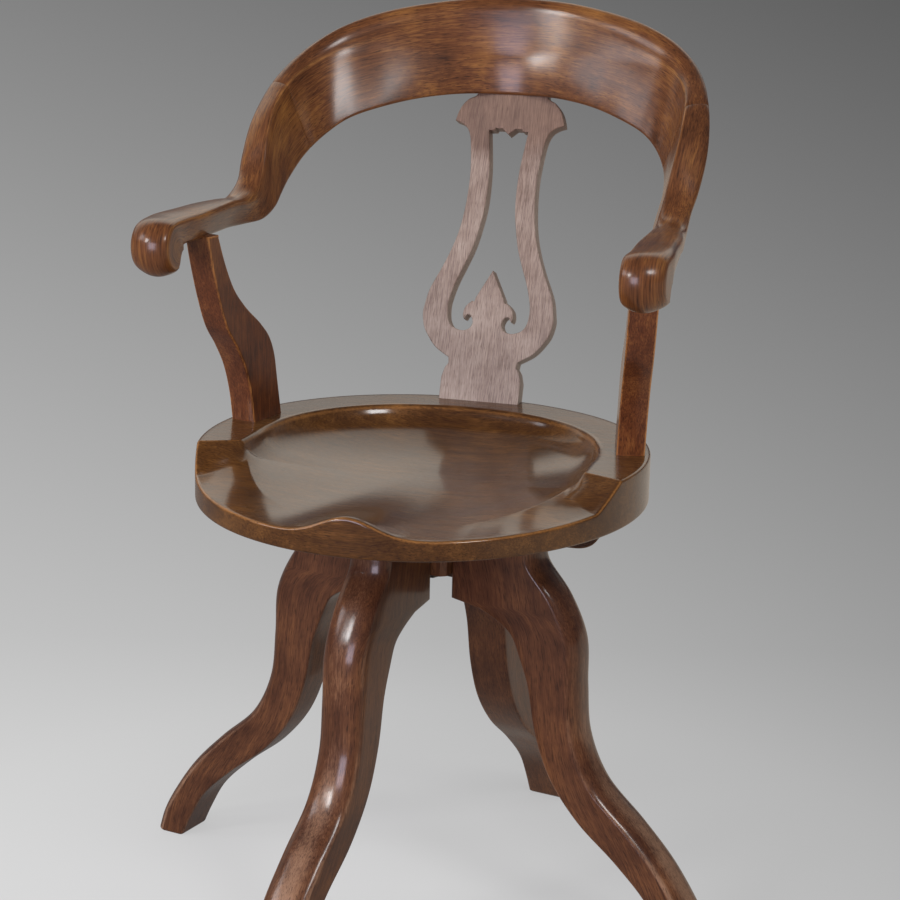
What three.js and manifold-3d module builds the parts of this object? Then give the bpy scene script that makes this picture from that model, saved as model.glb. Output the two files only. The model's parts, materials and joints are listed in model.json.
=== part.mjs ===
// A revolving desk chair in oak, in the captain's pattern, in millimetres, +Z up.
// The origin is on the floor under the swivel axis, and the sitter faces -Y.
import * as THREE from "three";
import { mergeVertices } from "three/addons/utils/BufferGeometryUtils.js";
import Module from "manifold-3d";

const wasm = await Module();
wasm.setup();

const degrees = Math.PI / 180;

// Fits
const fitGap = 0.3; // between faces that touch
const weld = 0.001; // points nearer than this are one point
const overrun = 3; // how far a cutter reaches past the face it leaves
const edgeRound = 3; // the worn rounding on every long edge

// Seat
const rimHeight = 493;
const seatThickness = 49;
const seatRadius = 230;
const seatForward = 36; // how far the seat lies ahead of the swivel axis
const seatOval = 5.5;
const seatEgg = 4;
const rimWidth = 53;
const shoulderAngle = 66.3 * degrees; // where the rim ends, from the front
const shoulderRamp = 10.5 * degrees; // how far the ramp runs forward from the rim's end
const shoulderRear = 80 * degrees; // where the rim has its full width
const shoulderNarrow = 7; // how much narrower the rim is at its end
const dishDepth = 35;
const rimWallDrop = 17;
const rimWallRun = 8;
const frontDrop = 30;
const frontRise = 8;
const frontBand = 7;
const pommelHeight = 20;
const pommelSpread = 8 * degrees;

// Seat bearers
const battenLength = 392;
const battenWidth = 50;
const battenThickness = 25;
const battenSpacing = 126; // from centre line to centre line

// Swivel
const plateThickness = 6;
const topPlateWidth = 116;
const topPlateMargin = 13; // from a top plate screw to the plate's edge
const thrustThickness = 4;
const thrustRadius = 32;
const spindleRadius = 10;
const spindleHeadRadius = 18;
const spindleHeadHeight = 6;
const spindleTail = 2; // how far it stands out of its nut
const spindleClearance = 0.5;
const spindleWasherRadius = 20;
const spindleWasherThickness = 2.5;
const nutRadius = 16;
const nutHeight = 9;
const crossHubRadius = 38;
const crossArmWidth = 34;

// Leg block and legs
const baseYaw = -12.7 * degrees; // how far the legs are turned from the seat in the photographed pose
const blockWidth = 76;
const blockHeight = 40;
const blockChamfer = 5;
const legReach = 333;
const legThickness = 46.6;
const legCrown = 9; // how far the outer face bulges
const legDowelRadius = 6;
const legDowelLength = 44;
const legDowelCover = 18; // from the swivel axis to a dowel's inner end

// Bow: two arms and a crest rail
const armTopHeight = 718;
const armThickness = 26;
const armWidth = 46;
const armFront = 161; // how far the scrolls' edges reach ahead of the swivel axis
const armCrown = 2.5;
const bowHalfSpan = 217;
const bowRear = 291; // the crest rail's front face behind the swivel axis
const crestArrisHeight = 885;
const crestDepth = 73; // from the arris down to the foot of the crest rail's front face
const crestRoll = 30; // how far the rounded top stands over the arris
const scrollRadius = 23;
const scrollTurn = 185 * degrees;
const scrollCrown = 7.5;
const jointTurn = 32 * degrees;
const jointTilt = 19 * degrees;
const jointSlant = 12; // how far the joint's section leans out from its foot to its top
const bowDowelRadius = 4.5;
const bowDowelLength = 40;

// Arm supports
const supportThickness = 28.5;
const supportDepth = 51;
const supportFootX = 191;
const supportFootY = -2;
const supportToe = 13.7 * degrees; // how far it turns out towards the front
const supportLean = 1.5 * degrees; // how far it leans out towards the arm
const supportTenonThickness = 13;
const supportFootTenonHeight = 26;
const supportHeadTenonHeight = 13;

// Back splat
const splatThickness = 18;
const splatFootWidth = 89;
const splatBulgeWidth = 147;
const splatRearMargin = 2; // from the splat's foot to the seat's rear edge
const splatTenonThickness = 9;
const splatFootTenonHeight = 24;
const splatHeadTenonHeight = 12;

// Screws
const screwHeadRadius = 5;
const screwShankRadius = 2.5;
const screwHeadHeight = 3;
const battenScrewLength = 42;
const plateScrewLength = 24;

// Heights of the stack, from the seat down
const seatUnderside = rimHeight - seatThickness;
const battenTop = seatUnderside - fitGap;
const battenUnderside = battenTop - battenThickness;
const topPlateTop = battenUnderside - fitGap;
const topPlateUnderside = topPlateTop - plateThickness;
const thrustTop = topPlateUnderside - fitGap;
const crossTop = thrustTop - thrustThickness - fitGap;
const crossUnderside = crossTop - plateThickness;
const legTop = crossUnderside - fitGap;
const blockUnderside = legTop - blockHeight;
const armUnderside = armTopHeight - armThickness;
const crestFootHeight = crestArrisHeight - crestDepth;

const walnutStain = { color: 0x5a3422, roughness: 0.32, metalness: 0 };
const paleOak = { color: 0x8f6a58, roughness: 0.55, metalness: 0 };
const rawBeech = { color: 0xc9a876, roughness: 0.7, metalness: 0 };
const blackIron = { color: 0x33302e, roughness: 0.55, metalness: 0.9 };
const screwSteel = { color: 0x8d8880, roughness: 0.4, metalness: 1 };

// A closed geometry as a solid that can be joined and cut, moved by a matrix first.
function solidOf(geometry, matrix = new THREE.Matrix4()) {
  const loose = geometry.index ? geometry.toNonIndexed() : geometry.clone();
  const bare = new THREE.BufferGeometry();
  bare.setAttribute("position", loose.getAttribute("position").clone());
  bare.applyMatrix4(matrix);
  const merged = mergeVertices(bare, weld);
  const triVerts = new Uint32Array(merged.index.array);
  const vertProperties = merged.attributes.position.array;
  return new wasm.Manifold(new wasm.Mesh({ numProp: 3, vertProperties, triVerts }));
}

function geometryOf(solid) {
  const mesh = solid.getMesh();
  const geometry = new THREE.BufferGeometry();
  const places = Float32Array.from(mesh.vertProperties);
  geometry.setAttribute("position", new THREE.BufferAttribute(places, mesh.numProp));
  geometry.setIndex(new THREE.BufferAttribute(Uint32Array.from(mesh.triVerts), 1));
  geometry.computeVertexNormals();
  return geometry;
}

const move = (x, y, z) => new THREE.Matrix4().makeTranslation(x, y, z);

const cutAll = (solid, cutters) => cutters.reduce((left, cutter) => left.subtract(cutter), solid);

// Faces over a list of points, turned to face out: a mirrored surface is wound the other way round.
function shellOf(points, faces) {
  const build = (order) => {
    const geometry = new THREE.BufferGeometry();
    geometry.setFromPoints(points);
    geometry.setIndex(faces.flatMap(order));
    return geometry;
  };
  const asWound = build(([a, b, c]) => [a, b, c]);
  return solidOf(asWound).volume() > 0 ? asWound : build(([a, b, c]) => [a, c, b]);
}

// A skin over rings of equally many points, closed at both ends by fans about the rings' middles.
function loft(rings) {
  const count = rings[0].length;
  const points = rings.flat();
  const faces = [];
  for (let i = 0; i + 1 < rings.length; i += 1) {
    for (let j = 0; j < count; j += 1) {
      const here = i * count + j;
      const next = i * count + ((j + 1) % count);
      faces.push([here, next, next + count], [here, next + count, here + count]);
    }
  }
  const close = (ring, first, turned) => {
    const middle = points.length;
    points.push(ring.reduce((sum, p) => sum.add(p), new THREE.Vector3()).divideScalar(count));
    for (let j = 0; j < count; j += 1) {
      const here = first + j;
      const next = first + ((j + 1) % count);
      faces.push(turned ? [middle, next, here] : [middle, here, next]);
    }
  };
  close(rings[0], 0, true);
  close(rings[rings.length - 1], (rings.length - 1) * count, false);
  return shellOf(points, faces);
}

const mirrored = (geometry) => {
  const points = [];
  const place = geometry.getAttribute("position");
  for (let i = 0; i < place.count; i += 1) {
    points.push(new THREE.Vector3(-place.getX(i), place.getY(i), place.getZ(i)));
  }
  const faces = [];
  for (let i = 0; i < geometry.index.count; i += 3) {
    faces.push([geometry.index.getX(i), geometry.index.getX(i + 1), geometry.index.getX(i + 2)]);
  }
  return shellOf(points, faces);
};

const boxOf = (width, depth, height, matrix) => solidOf(new THREE.BoxGeometry(width, depth, height), matrix);

// A round bar along +Z from its foot at the origin.
function barOf(radius, length, sides = 20) {
  const bar = new THREE.CylinderGeometry(radius, radius, length, sides);
  bar.rotateX(Math.PI / 2);
  bar.translate(0, 0, length / 2);
  return bar;
}

// A countersunk wood screw along +Z, its head's face at the origin. Grown by a gap it cuts its own hole.
function screwOf(length, gap = 0) {
  const tip = length + gap;
  const profile = [
    new THREE.Vector2(0, 0),
    new THREE.Vector2(screwHeadRadius + gap, 0),
    new THREE.Vector2(screwShankRadius + gap, screwHeadHeight),
    new THREE.Vector2(screwShankRadius + gap, tip - screwShankRadius),
    new THREE.Vector2(0, tip),
  ];
  const screw = new THREE.LatheGeometry(profile, 12);
  screw.rotateX(Math.PI / 2);
  return shellOf(...pointsAndFaces(screw));
}

// A three.js geometry's welded points and faces.
function pointsAndFaces(geometry) {
  const bare = new THREE.BufferGeometry();
  const loose = geometry.index ? geometry.toNonIndexed() : geometry;
  bare.setAttribute("position", loose.getAttribute("position").clone());
  const merged = mergeVertices(bare, weld);
  const place = merged.getAttribute("position");
  const points = [];
  for (let i = 0; i < place.count; i += 1) points.push(new THREE.Vector3().fromBufferAttribute(place, i));
  const faces = [];
  for (let i = 0; i < merged.index.count; i += 3) {
    const face = [merged.index.getX(i), merged.index.getX(i + 1), merged.index.getX(i + 2)];
    if (new Set(face).size === 3) faces.push(face);
  }
  return [points, faces];
}

const group = new THREE.Group();
const seatGroup = new THREE.Group();
const baseGroup = new THREE.Group();
baseGroup.rotation.z = baseYaw;
group.add(seatGroup, baseGroup);

function addMesh(parent, name, solid, finish) {
  const geometry = solid.isBufferGeometry ? solid : geometryOf(solid);
  const mesh = new THREE.Mesh(geometry, new THREE.MeshStandardMaterial(finish));
  mesh.name = name;
  parent.add(mesh);
  return mesh;
}

// The seat's outline round the swivel axis, by the angle from the front.
function seatEdge(angle) {
  const oval = seatOval * Math.cos(2 * angle);
  const egg = seatEgg * Math.cos(3 * angle);
  return seatRadius + seatForward * Math.cos(angle) + oval + egg;
}
const seatRear = seatEdge(Math.PI);

// The radius of the rim's inner edge: the rim narrows a little towards its end.
function rimInner(turn) {
  const share = THREE.MathUtils.clamp((shoulderRear - turn) / (shoulderRear - shoulderAngle), 0, 1);
  return seatEdge(turn) - rimWidth + shoulderNarrow * share ** 2;
}

// How much of the rim's height there is at an angle: all of it behind the shoulder, then a ramp.
function rimShare(turn) {
  const share = THREE.MathUtils.clamp((turn - shoulderAngle + shoulderRamp) / shoulderRamp, 0, 1);
  return share ** rampPower;
}

// The height of the saddle's own edge: two hollows for the thighs, with the pommel between them.
function frontEdge(turn) {
  const pommel = pommelHeight * Math.exp(-((turn / pommelSpread) ** 2));
  return rimHeight - frontDrop + pommel + frontRise * (turn / shoulderAngle) ** 2;
}

const dishShares = [0.14, 0.3, 0.46, 0.61, 0.74, 0.85, 0.93, 1];
const dishPower = 2.4;
const rampPower = 1.2;
const seatSpokes = 72;

// One spoke of the seat, from near the middle over the dish, the rim and the side to the underside.
// Without the rim the dish would rise to the saddle's own edge, and the rim stands on that.
function seatSpoke(angle) {
  const turn = Math.abs(angle);
  const edge = seatEdge(turn);
  const floor = rimHeight - dishDepth;
  const rimmed = rimShare(turn);
  const openAt = (radius) => {
    const share = Math.min(radius / (edge - frontBand), 1);
    return floor + (frontEdge(Math.min(turn, shoulderAngle)) - floor) * share ** dishPower;
  };
  const topAt = (radius) => THREE.MathUtils.lerp(openAt(radius), rimHeight, rimmed);
  const rimIn = rimInner(turn);
  const inner = rimIn - rimWallRun;
  const wallFoot = THREE.MathUtils.lerp(openAt(inner), rimHeight - rimWallDrop, rimmed);
  const at = (radius, height) =>
    new THREE.Vector3(radius * Math.sin(angle), -radius * Math.cos(angle), height);
  const dish = dishShares.map((share) => at(inner * share, floor + (wallFoot - floor) * share ** dishPower));
  const middle = (rimIn + edge) / 2;
  const outer = edge - edgeRound;
  return [
    ...dish,
    at(rimIn, topAt(rimIn)),
    at(middle, topAt(middle)),
    at(outer, topAt(outer)),
    at(edge, topAt(outer) - edgeRound),
    at(edge, seatUnderside + edgeRound),
    at(outer, seatUnderside),
  ];
}

const shoulderShares = [-1, -0.66, -0.33, 0, 0.12];

// The spokes' angles: even steps, but with a few at set places on each ramp and its upper end.
function seatAngles() {
  const step = (2 * Math.PI) / seatSpokes;
  const even = Array.from({ length: seatSpokes }, (_, i) => i * step - Math.PI);
  const close = shoulderShares.map((share) => shoulderAngle + share * shoulderRamp);
  const away = even.filter((a) => close.every((angle) => Math.abs(Math.abs(a) - angle) > step / 3));
  return [...away, ...close, ...close.map((angle) => -angle)].sort((a, b) => a - b);
}

function seatBlank() {
  const spokes = seatAngles().map(seatSpoke);
  const count = spokes[0].length;
  const points = spokes.flat();
  const above = points.length;
  points.push(new THREE.Vector3(0, 0, rimHeight - dishDepth), new THREE.Vector3(0, 0, seatUnderside));
  const faces = [];
  spokes.forEach((_, i) => {
    const here = i * count;
    const next = ((i + 1) % spokes.length) * count;
    faces.push([above, here, next]);
    for (let j = 0; j + 1 < count; j += 1) {
      faces.push([here + j, here + j + 1, next + j + 1], [here + j, next + j + 1, next + j]);
    }
    faces.push([above + 1, next + count - 1, here + count - 1]);
  });
  return solidOf(shellOf(points, faces));
}

// Stations of half the bow, from the middle of the crest rail to the front of the arm. Each has the
// arris's place out to the side, back from the arm's front and up, the foot's place up, the top's
// width, the top's lift over the arris, and how far the foot of the face comes inward.
const bowShares = [
  [0, 1, 1, 1, 0.3, 1, 0.15],
  [0.23, 0.987, 0.988, 1, 0.3, 1, 0.24],
  [0.45, 0.956, 0.952, 0.96, 0.31, 0.97, 0.38],
  [0.645, 0.914, 0.904, 0.885, 0.31, 0.9, 0.52],
  [0.815, 0.867, 0.838, 0.785, 0.31, 0.73, 0.58],
  [0.915, 0.812, 0.766, 0.67, 0.36, 0.45, 0.52],
  [0.977, 0.732, 0.671, 0.5, 0.49, 0.02, 0.42],
  [1, 0.644, 0.533, 0.31, 0.58, -0.55, 0.38],
  [0.998, 0.582, 0.347, 0.19, 0.58, -0.7, 0.37],
  [0.983, 0.542, 0.165, 0.1, 0.59, -0.38, 0.3],
  [0.97, 0.493, 0.04, 0.02, 0.64, -0.03, 0.14],
  [0.968, 0.44, 0, 0, 0.68, -0.02, -0.1],
  [0.976, 0.374, 0, 0, 0.73, 0.03, -0.2],
  [0.981, 0.3, 0, 0, 0.82, 0.07, -0.19],
  [0.99, 0.2, 0, 0, 0.87, 0.08, -0.14],
  [1.009, 0.095, 0, 0, 0.86, 0.08, -0.03],
];
const armTuckShare = 0.8; // how far the arm's outer foot draws in, as a share of its inner foot's lean
const bowSteps = 2; // rings from one station to the next
const jointAlongShare = 0.74; // the joint is at the first station ahead of this share of the bow's run
const jointStation = bowShares.findIndex(([, along]) => along < jointAlongShare);
const up = new THREE.Vector3(0, 0, 1);

const bowArrises = bowShares.map(([side, along, rise]) => {
  const height = armTopHeight + rise * (crestArrisHeight - armTopHeight);
  return new THREE.Vector3(side * bowHalfSpan, along * (armFront + bowRear) - armFront, height);
});

// The level direction out of the bow at a station, square to the arris's run.
function bowOutward(i) {
  if (i === 0) return new THREE.Vector3(0, 1, 0);
  const before = bowArrises[i - 1];
  const after = bowArrises[Math.min(i + 1, bowArrises.length - 1)];
  const run = after.clone().sub(before).setZ(0).normalize();
  return new THREE.Vector3(-run.y, run.x, 0);
}

// The corners of one section: the arris, the outer top, the foot of the face and the outer foot.
const bowSections = bowShares.map(([, , , foot, width, lift, lean], i) => {
  const arris = bowArrises[i];
  const out = bowOutward(i);
  const round = Math.max(lift, 0);
  const backOut = (crestRoll / 3) * round + edgeRound;
  const outerTop = arris.clone().addScaledVector(out, width * armWidth);
  outerTop.addScaledVector(up, lift * crestRoll);
  const innerFoot = arris.clone().addScaledVector(out, -lean * armWidth);
  innerFoot.z = armUnderside + foot * (crestFootHeight - armUnderside);
  const tuck = Math.max(-lean, 0) * armTuckShare;
  const outerFoot = arris.clone().addScaledVector(out, (width - Math.max(lean, 0) - tuck) * armWidth + backOut);
  outerFoot.z = innerFoot.z;
  const backTop = outerTop.clone().addScaledVector(out, backOut);
  backTop.addScaledVector(up, -crestRoll * 0.75 * round - edgeRound);
  return { arris, outerTop, innerFoot, outerFoot, backTop, out, rise: up.clone(), round, crown: armCrown };
});

// The foot of the scroll's face, in shares of its radius back and up from its pivot.
const scrollFootShares = [
  [0.8, -0.28],
  [0.7, -0.32],
  [0.62, -0.4],
  [0.56, -0.48],
  [0.51, -0.58],
  [0.47, -0.67],
  [0.42, -0.76],
  [0.3, -0.85],
];

// The sections of the scroll: the top rolls over about a pivot while the foot turns in behind it.
function scrollSections(last) {
  const forward = new THREE.Vector3(0, -1, 0);
  const pivot = new THREE.Vector3(last.arris.x, scrollRadius - armFront, armTopHeight - scrollRadius);
  return scrollFootShares.map(([back, rise], i) => {
    const share = (i + 1) / scrollFootShares.length;
    const turn = share * scrollTurn;
    const outwards = up.clone().multiplyScalar(Math.cos(turn)).addScaledVector(forward, Math.sin(turn));
    const arris = pivot.clone().addScaledVector(outwards, scrollRadius);
    const innerFoot = pivot.clone().addScaledVector(forward, -back * scrollRadius);
    innerFoot.addScaledVector(up, rise * scrollRadius);
    const across = last.out.clone().multiplyScalar(last.arris.distanceTo(last.outerTop));
    const outerTop = arris.clone().add(across);
    const backTop = outerTop.clone().addScaledVector(last.out, edgeRound);
    backTop.addScaledVector(outwards, -edgeRound);
    const outerFoot = innerFoot.clone().add(across).addScaledVector(last.out, edgeRound);
    const crown = THREE.MathUtils.lerp(armCrown, scrollCrown, Math.min(3 * share, 1));
    return { arris, outerTop, innerFoot, outerFoot, backTop, out: last.out, rise: outwards, round: 0, crown };
  });
}

// A section's ring: a rolled top on the crest rail, a slightly crowned one on the arm, worn feet.
function bowRing(section) {
  const { arris, outerTop, innerFoot, outerFoot, backTop, out, rise, round, crown } = section;
  const middle = arris.clone().lerp(outerTop, 0.5).addScaledVector(rise, 2 * crown);
  const corner = arris.clone().addScaledVector(rise, outerTop.clone().sub(arris).dot(rise));
  const topBend = middle.lerp(corner, round);
  const backBend = outerTop.clone().addScaledVector(out, backTop.clone().sub(outerTop).dot(out));
  const top = new THREE.QuadraticBezierCurve3(arris, topBend, outerTop).getPoints(6);
  const back = new THREE.QuadraticBezierCurve3(outerTop, backBend, backTop).getPoints(2);
  const face = arris.clone().sub(innerFoot).normalize();
  const side = backTop.clone().sub(outerFoot).normalize();
  const footRound = Math.min(edgeRound, arris.distanceTo(innerFoot) / 4);
  return [
    ...top,
    ...back.slice(1),
    outerFoot.clone().addScaledVector(side, footRound),
    outerFoot.clone().addScaledVector(out, -footRound),
    innerFoot.clone().addScaledVector(out, footRound),
    innerFoot.clone().addScaledVector(face, footRound),
  ];
}

// Rings between the stations, on smooth curves through each corner.
function bowRings(sections) {
  const rings = sections.map(bowRing);
  const curves = rings[0].map((_, j) => new THREE.CatmullRomCurve3(rings.map((ring) => ring[j])));
  const steps = (sections.length - 1) * bowSteps;
  return Array.from({ length: steps + 1 }, (_, i) => curves.map((curve) => curve.getPoint(i / steps)));
}

const leftOf = (section) => {
  const flip = (v) => new THREE.Vector3(-v.x, v.y, v.z);
  const { arris, outerTop, innerFoot, outerFoot, backTop, out, rise, round, crown } = section;
  return {
    arris: flip(arris),
    outerTop: flip(outerTop),
    innerFoot: flip(innerFoot),
    outerFoot: flip(outerFoot),
    backTop: flip(backTop),
    out: flip(out),
    rise,
    round,
    crown,
  };
};

// The joint between crest rail and arm: a level basis whose third axis runs down along the arm.
const joint = bowSections[jointStation];
const jointPlace = joint.arris.clone().add(joint.outerTop).add(joint.innerFoot).add(joint.outerFoot);
jointPlace.divideScalar(4);
const jointAxis = new THREE.Vector3(
  Math.sin(jointTurn) * Math.cos(jointTilt),
  -Math.cos(jointTurn) * Math.cos(jointTilt),
  -Math.sin(jointTilt),
);
const jointAcross = new THREE.Vector3().crossVectors(up, jointAxis).normalize();
const jointUp = new THREE.Vector3().crossVectors(jointAxis, jointAcross);
const jointFrame = new THREE.Matrix4().makeBasis(jointAcross, jointUp, jointAxis).setPosition(jointPlace);

// Everything past the joint on one side of it: towards the arm, or towards the crest rail.
function pastJoint(towardsArm) {
  const reach = bowHalfSpan;
  const shift = towardsArm ? (reach - fitGap) / 2 : (fitGap - reach) / 2;
  return boxOf(reach, 2 * reach, reach, jointFrame.clone().multiply(move(0, 0, shift)));
}

const jointDowelShares = [-0.22, 0.16];
const jointSpan = joint.arris.distanceTo(joint.innerFoot);
const jointDowelMatrix = (share) =>
  jointFrame.clone().multiply(move(share * jointSlant, share * jointSpan, -bowDowelLength / 2));
const jointDowelCutters = jointDowelShares.map((share) =>
  solidOf(
    barOf(bowDowelRadius + fitGap, bowDowelLength + 2 * fitGap),
    jointDowelMatrix(share).multiply(move(0, 0, -fitGap)),
  ),
);

// The arm support stands on the rim, toed out and leaning out a little. Its frame has x back along
// the board, y up it and z out through its thickness.
const supportTop = armUnderside - fitGap;
const supportFoot = rimHeight + fitGap;
const supportOut = new THREE.Vector3(Math.cos(supportToe), Math.sin(supportToe), 0);
const supportFrame = new THREE.Matrix4()
  .makeBasis(
    new THREE.Vector3(-Math.sin(supportToe), Math.cos(supportToe), 0),
    up.clone().addScaledVector(supportOut, Math.tan(supportLean)),
    supportOut,
  )
  .setPosition(supportFootX, supportFootY, supportFoot);

// The board's two edges, as shares of its depth and height, from the foot up.
const supportFrontShares = [
  [0, 0],
  [-0.08, 0.14],
  [-0.25, 0.286],
  [-0.53, 0.412],
  [-0.87, 0.533],
  [-1.11, 0.688],
  [-1.33, 0.884],
  [-1.43, 1],
];
const supportRearShares = [
  [-1.06, 1],
  [-0.86, 0.864],
  [-0.59, 0.729],
  [-0.2, 0.618],
  [0.35, 0.503],
  [0.65, 0.417],
  [0.8, 0.322],
  [0.88, 0.196],
  [1, 0],
];

// The tenons' middles and sizes along the board, foot first.
const supportTenons = [
  { middleShare: 0.5, depthShare: 0.66, from: -supportFootTenonHeight, to: overrun },
  { middleShare: -1.24, depthShare: 0.24, from: -overrun, to: supportHeadTenonHeight },
];

function supportTenon(index, gap) {
  const { middleShare, depthShare, from, to } = supportTenons[index];
  const base = index === 0 ? 0 : supportTop - supportFoot;
  const low = base + (index === 0 ? from - gap : from);
  const high = base + (index === 0 ? to : to + gap);
  const tenon = move(middleShare * supportDepth, (low + high) / 2, supportThickness / 2);
  const depth = depthShare * supportDepth + 2 * gap;
  return boxOf(depth, high - low, supportTenonThickness + 2 * gap, supportFrame.clone().multiply(tenon));
}

function supportSolid() {
  const height = supportTop - supportFoot;
  const toPoint = ([depth, rise]) => new THREE.Vector2(depth * supportDepth, rise * height);
  const front = new THREE.SplineCurve(supportFrontShares.map(toPoint)).getPoints(16);
  const rear = new THREE.SplineCurve(supportRearShares.map(toPoint)).getPoints(16);
  const board = new THREE.ExtrudeGeometry(new THREE.Shape([...front, ...rear]), {
    depth: supportThickness,
    bevelEnabled: false,
  });
  return solidOf(board, supportFrame).add(supportTenon(0, 0)).add(supportTenon(1, 0));
}

// The splat leans from the seat's rear rim to the crest rail. Its frame has x across, y up the board.
const crestThickness = bowSections[0].outerFoot.y - bowSections[0].innerFoot.y;
const splatHeadY = bowSections[0].innerFoot.y + (crestThickness - splatThickness) / 3;
const splatRise = crestFootHeight - rimHeight;
const splatRun = (footY) => Math.atan2(splatHeadY - footY, splatRise);
const splatFootGuess = seatRear - splatRearMargin - splatThickness;
const splatFootY = seatRear - splatRearMargin - splatThickness / Math.cos(splatRun(splatFootGuess));
const splatLean = splatRun(splatFootY);
const splatLength = splatRise / Math.cos(splatLean);
const splatFrame = new THREE.Matrix4()
  .makeRotationX(Math.PI / 2 - splatLean)
  .setPosition(0, splatFootY, rimHeight);

// Right half of the splat's outline from the foot up: the foot's edge, the lobe, the stem and the cap.
// Across is in shares of half the bulge, up in shares of the splat's length.
const splatFootShare = splatFootWidth / splatBulgeWidth;
const splatFootShares = [
  [splatFootShare, -0.09],
  [splatFootShare, 0.07],
  [0.57, 0.1],
  [0.52, 0.117],
  [0.53, 0.135],
];
const splatLobeShares = [
  [0.59, 0.142],
  [0.75, 0.165],
  [0.87, 0.196],
  [0.965, 0.233],
  [1, 0.274],
  [0.985, 0.3],
  [0.95, 0.34],
  [0.875, 0.382],
  [0.78, 0.426],
  [0.65, 0.5],
  [0.58, 0.556],
  [0.54, 0.613],
  [0.517, 0.68],
  [0.517, 0.742],
  [0.542, 0.802],
  [0.575, 0.852],
  [0.625, 0.88],
  [0.716, 0.898],
  [0.835, 0.908],
];
const splatCapShares = [
  [0.835, 0.908],
  [0.81, 0.93],
  [0.76, 0.956],
  [0.675, 0.979],
  [0.54, 0.998],
  [0.53, 1.06],
];
// Right half of the opening, from the fringe at the top down its side and back up round the spade.
const fringeShares = [
  [0, 0.87],
  [0.1, 0.889],
  [0.2, 0.889],
  [0.215, 0.882],
  [0.3, 0.881],
];
const openingShares = [
  [0.275, 0.84],
  [0.232, 0.76],
  [0.22, 0.68],
  [0.232, 0.624],
  [0.272, 0.567],
  [0.34, 0.5],
  [0.46, 0.427],
  [0.53, 0.388],
  [0.59, 0.344],
  [0.622, 0.305],
  [0.612, 0.27],
  [0.56, 0.243],
  [0.445, 0.228],
  [0.34, 0.226],
  [0.25, 0.237],
  [0.222, 0.254],
  [0.25, 0.271],
  [0.31, 0.277],
  [0.36, 0.262],
];
const leafShares = [
  [0.36, 0.262],
  [0.382, 0.275],
  [0.372, 0.294],
  [0.325, 0.311],
  [0.262, 0.323],
];
const spadeShares = [
  [0.235, 0.32],
  [0.212, 0.336],
  [0, 0.425],
];

function splatCurve(shares, smooth) {
  const half = splatBulgeWidth / 2;
  const points = shares.map(([across, along]) => new THREE.Vector2(across * half, along * splatLength));
  return smooth ? new THREE.SplineCurve(points).getPoints(Math.round(shares.length * 1.6)) : points;
}

// A half outline and its mirror image, as one closed ring.
function bothHalves(half) {
  const other = half.map((p) => new THREE.Vector2(-p.x, p.y)).reverse();
  const ring = [...half, ...other];
  return ring.filter((p, i) => p.distanceTo(ring[(i + 1) % ring.length]) > weld);
}

function splatSolid() {
  const foot = splatCurve(splatFootShares, false);
  const outer = [...foot, ...splatCurve(splatLobeShares, true), ...splatCurve(splatCapShares, true)];
  const outline = new THREE.Shape(bothHalves(outer));
  const inner = [...splatCurve(fringeShares, false), ...splatCurve(openingShares, true)];
  const spade = [...splatCurve(leafShares, true), ...splatCurve(spadeShares, false)];
  outline.holes.push(new THREE.Path(bothHalves([...inner, ...spade])));
  const board = new THREE.ExtrudeGeometry(outline, { depth: splatThickness, bevelEnabled: false });
  board.translate(0, 0, -splatThickness);
  const reach = 2 * splatBulgeWidth;
  const above = crestFootHeight - fitGap;
  const below = rimHeight + fitGap;
  const trimmed = cutAll(solidOf(board, splatFrame), [
    boxOf(reach, reach, reach, move(0, splatHeadY, above + reach / 2)),
    boxOf(reach, reach, reach, move(0, splatFootY, below - reach / 2)),
  ]);
  return trimmed.add(splatTenon(0, 0)).add(splatTenon(1, 0));
}

// The splat's tenons, foot first, along the board's own slope.
function splatTenon(index, gap) {
  const widthShare = [0.7, 0.62][index];
  const height = [splatFootTenonHeight, splatHeadTenonHeight][index];
  const cheek = splatThickness * 0.6;
  const low = index === 0 ? -height - gap : splatLength - cheek;
  const high = index === 0 ? cheek : splatLength + height + gap;
  const width = widthShare * splatFootWidth + 2 * gap;
  const place = splatFrame.clone().multiply(move(0, (low + high) / 2, -splatThickness / 2));
  return boxOf(width, high - low, splatTenonThickness + 2 * gap, place);
}

// Bearers and their screws
const battenPlaces = [-battenSpacing / 2, battenSpacing / 2];
const battenScrewX = battenLength * 0.36;
const battenScrewMatrix = (x, y) => move(x, y, battenUnderside);
const topPlateScrewX = topPlateWidth / 2 - topPlateMargin;
const topPlateScrewMatrix = (x, y) => move(x, y, topPlateUnderside);

function battenSolid(y) {
  const half = battenLength / 2;
  const shape = new THREE.Shape();
  shape.moveTo(-half, battenTop);
  shape.lineTo(-half, battenTop - battenThickness * 0.35);
  shape.quadraticCurveTo(-half + battenThickness * 0.2, battenUnderside, -half + battenThickness, battenUnderside);
  shape.lineTo(half - battenThickness, battenUnderside);
  shape.quadraticCurveTo(half - battenThickness * 0.2, battenUnderside, half, battenTop - battenThickness * 0.35);
  shape.lineTo(half, battenTop);
  const bar = new THREE.ExtrudeGeometry(shape, { depth: battenWidth, bevelEnabled: false, curveSegments: 8 });
  bar.rotateX(Math.PI / 2);
  bar.translate(0, y + battenWidth / 2, 0);
  return cutAll(solidOf(bar), [...battenScrewCutters(y), ...topPlateScrewCutters(y)]);
}

const battenScrewCutters = (y) =>
  [-battenScrewX, battenScrewX].map((x) =>
    solidOf(screwOf(battenScrewLength, fitGap), battenScrewMatrix(x, y)),
  );
const topPlateScrewCutters = (y) =>
  [-topPlateScrewX, topPlateScrewX].map((x) =>
    solidOf(screwOf(plateScrewLength, fitGap), topPlateScrewMatrix(x, y)),
  );

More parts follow.
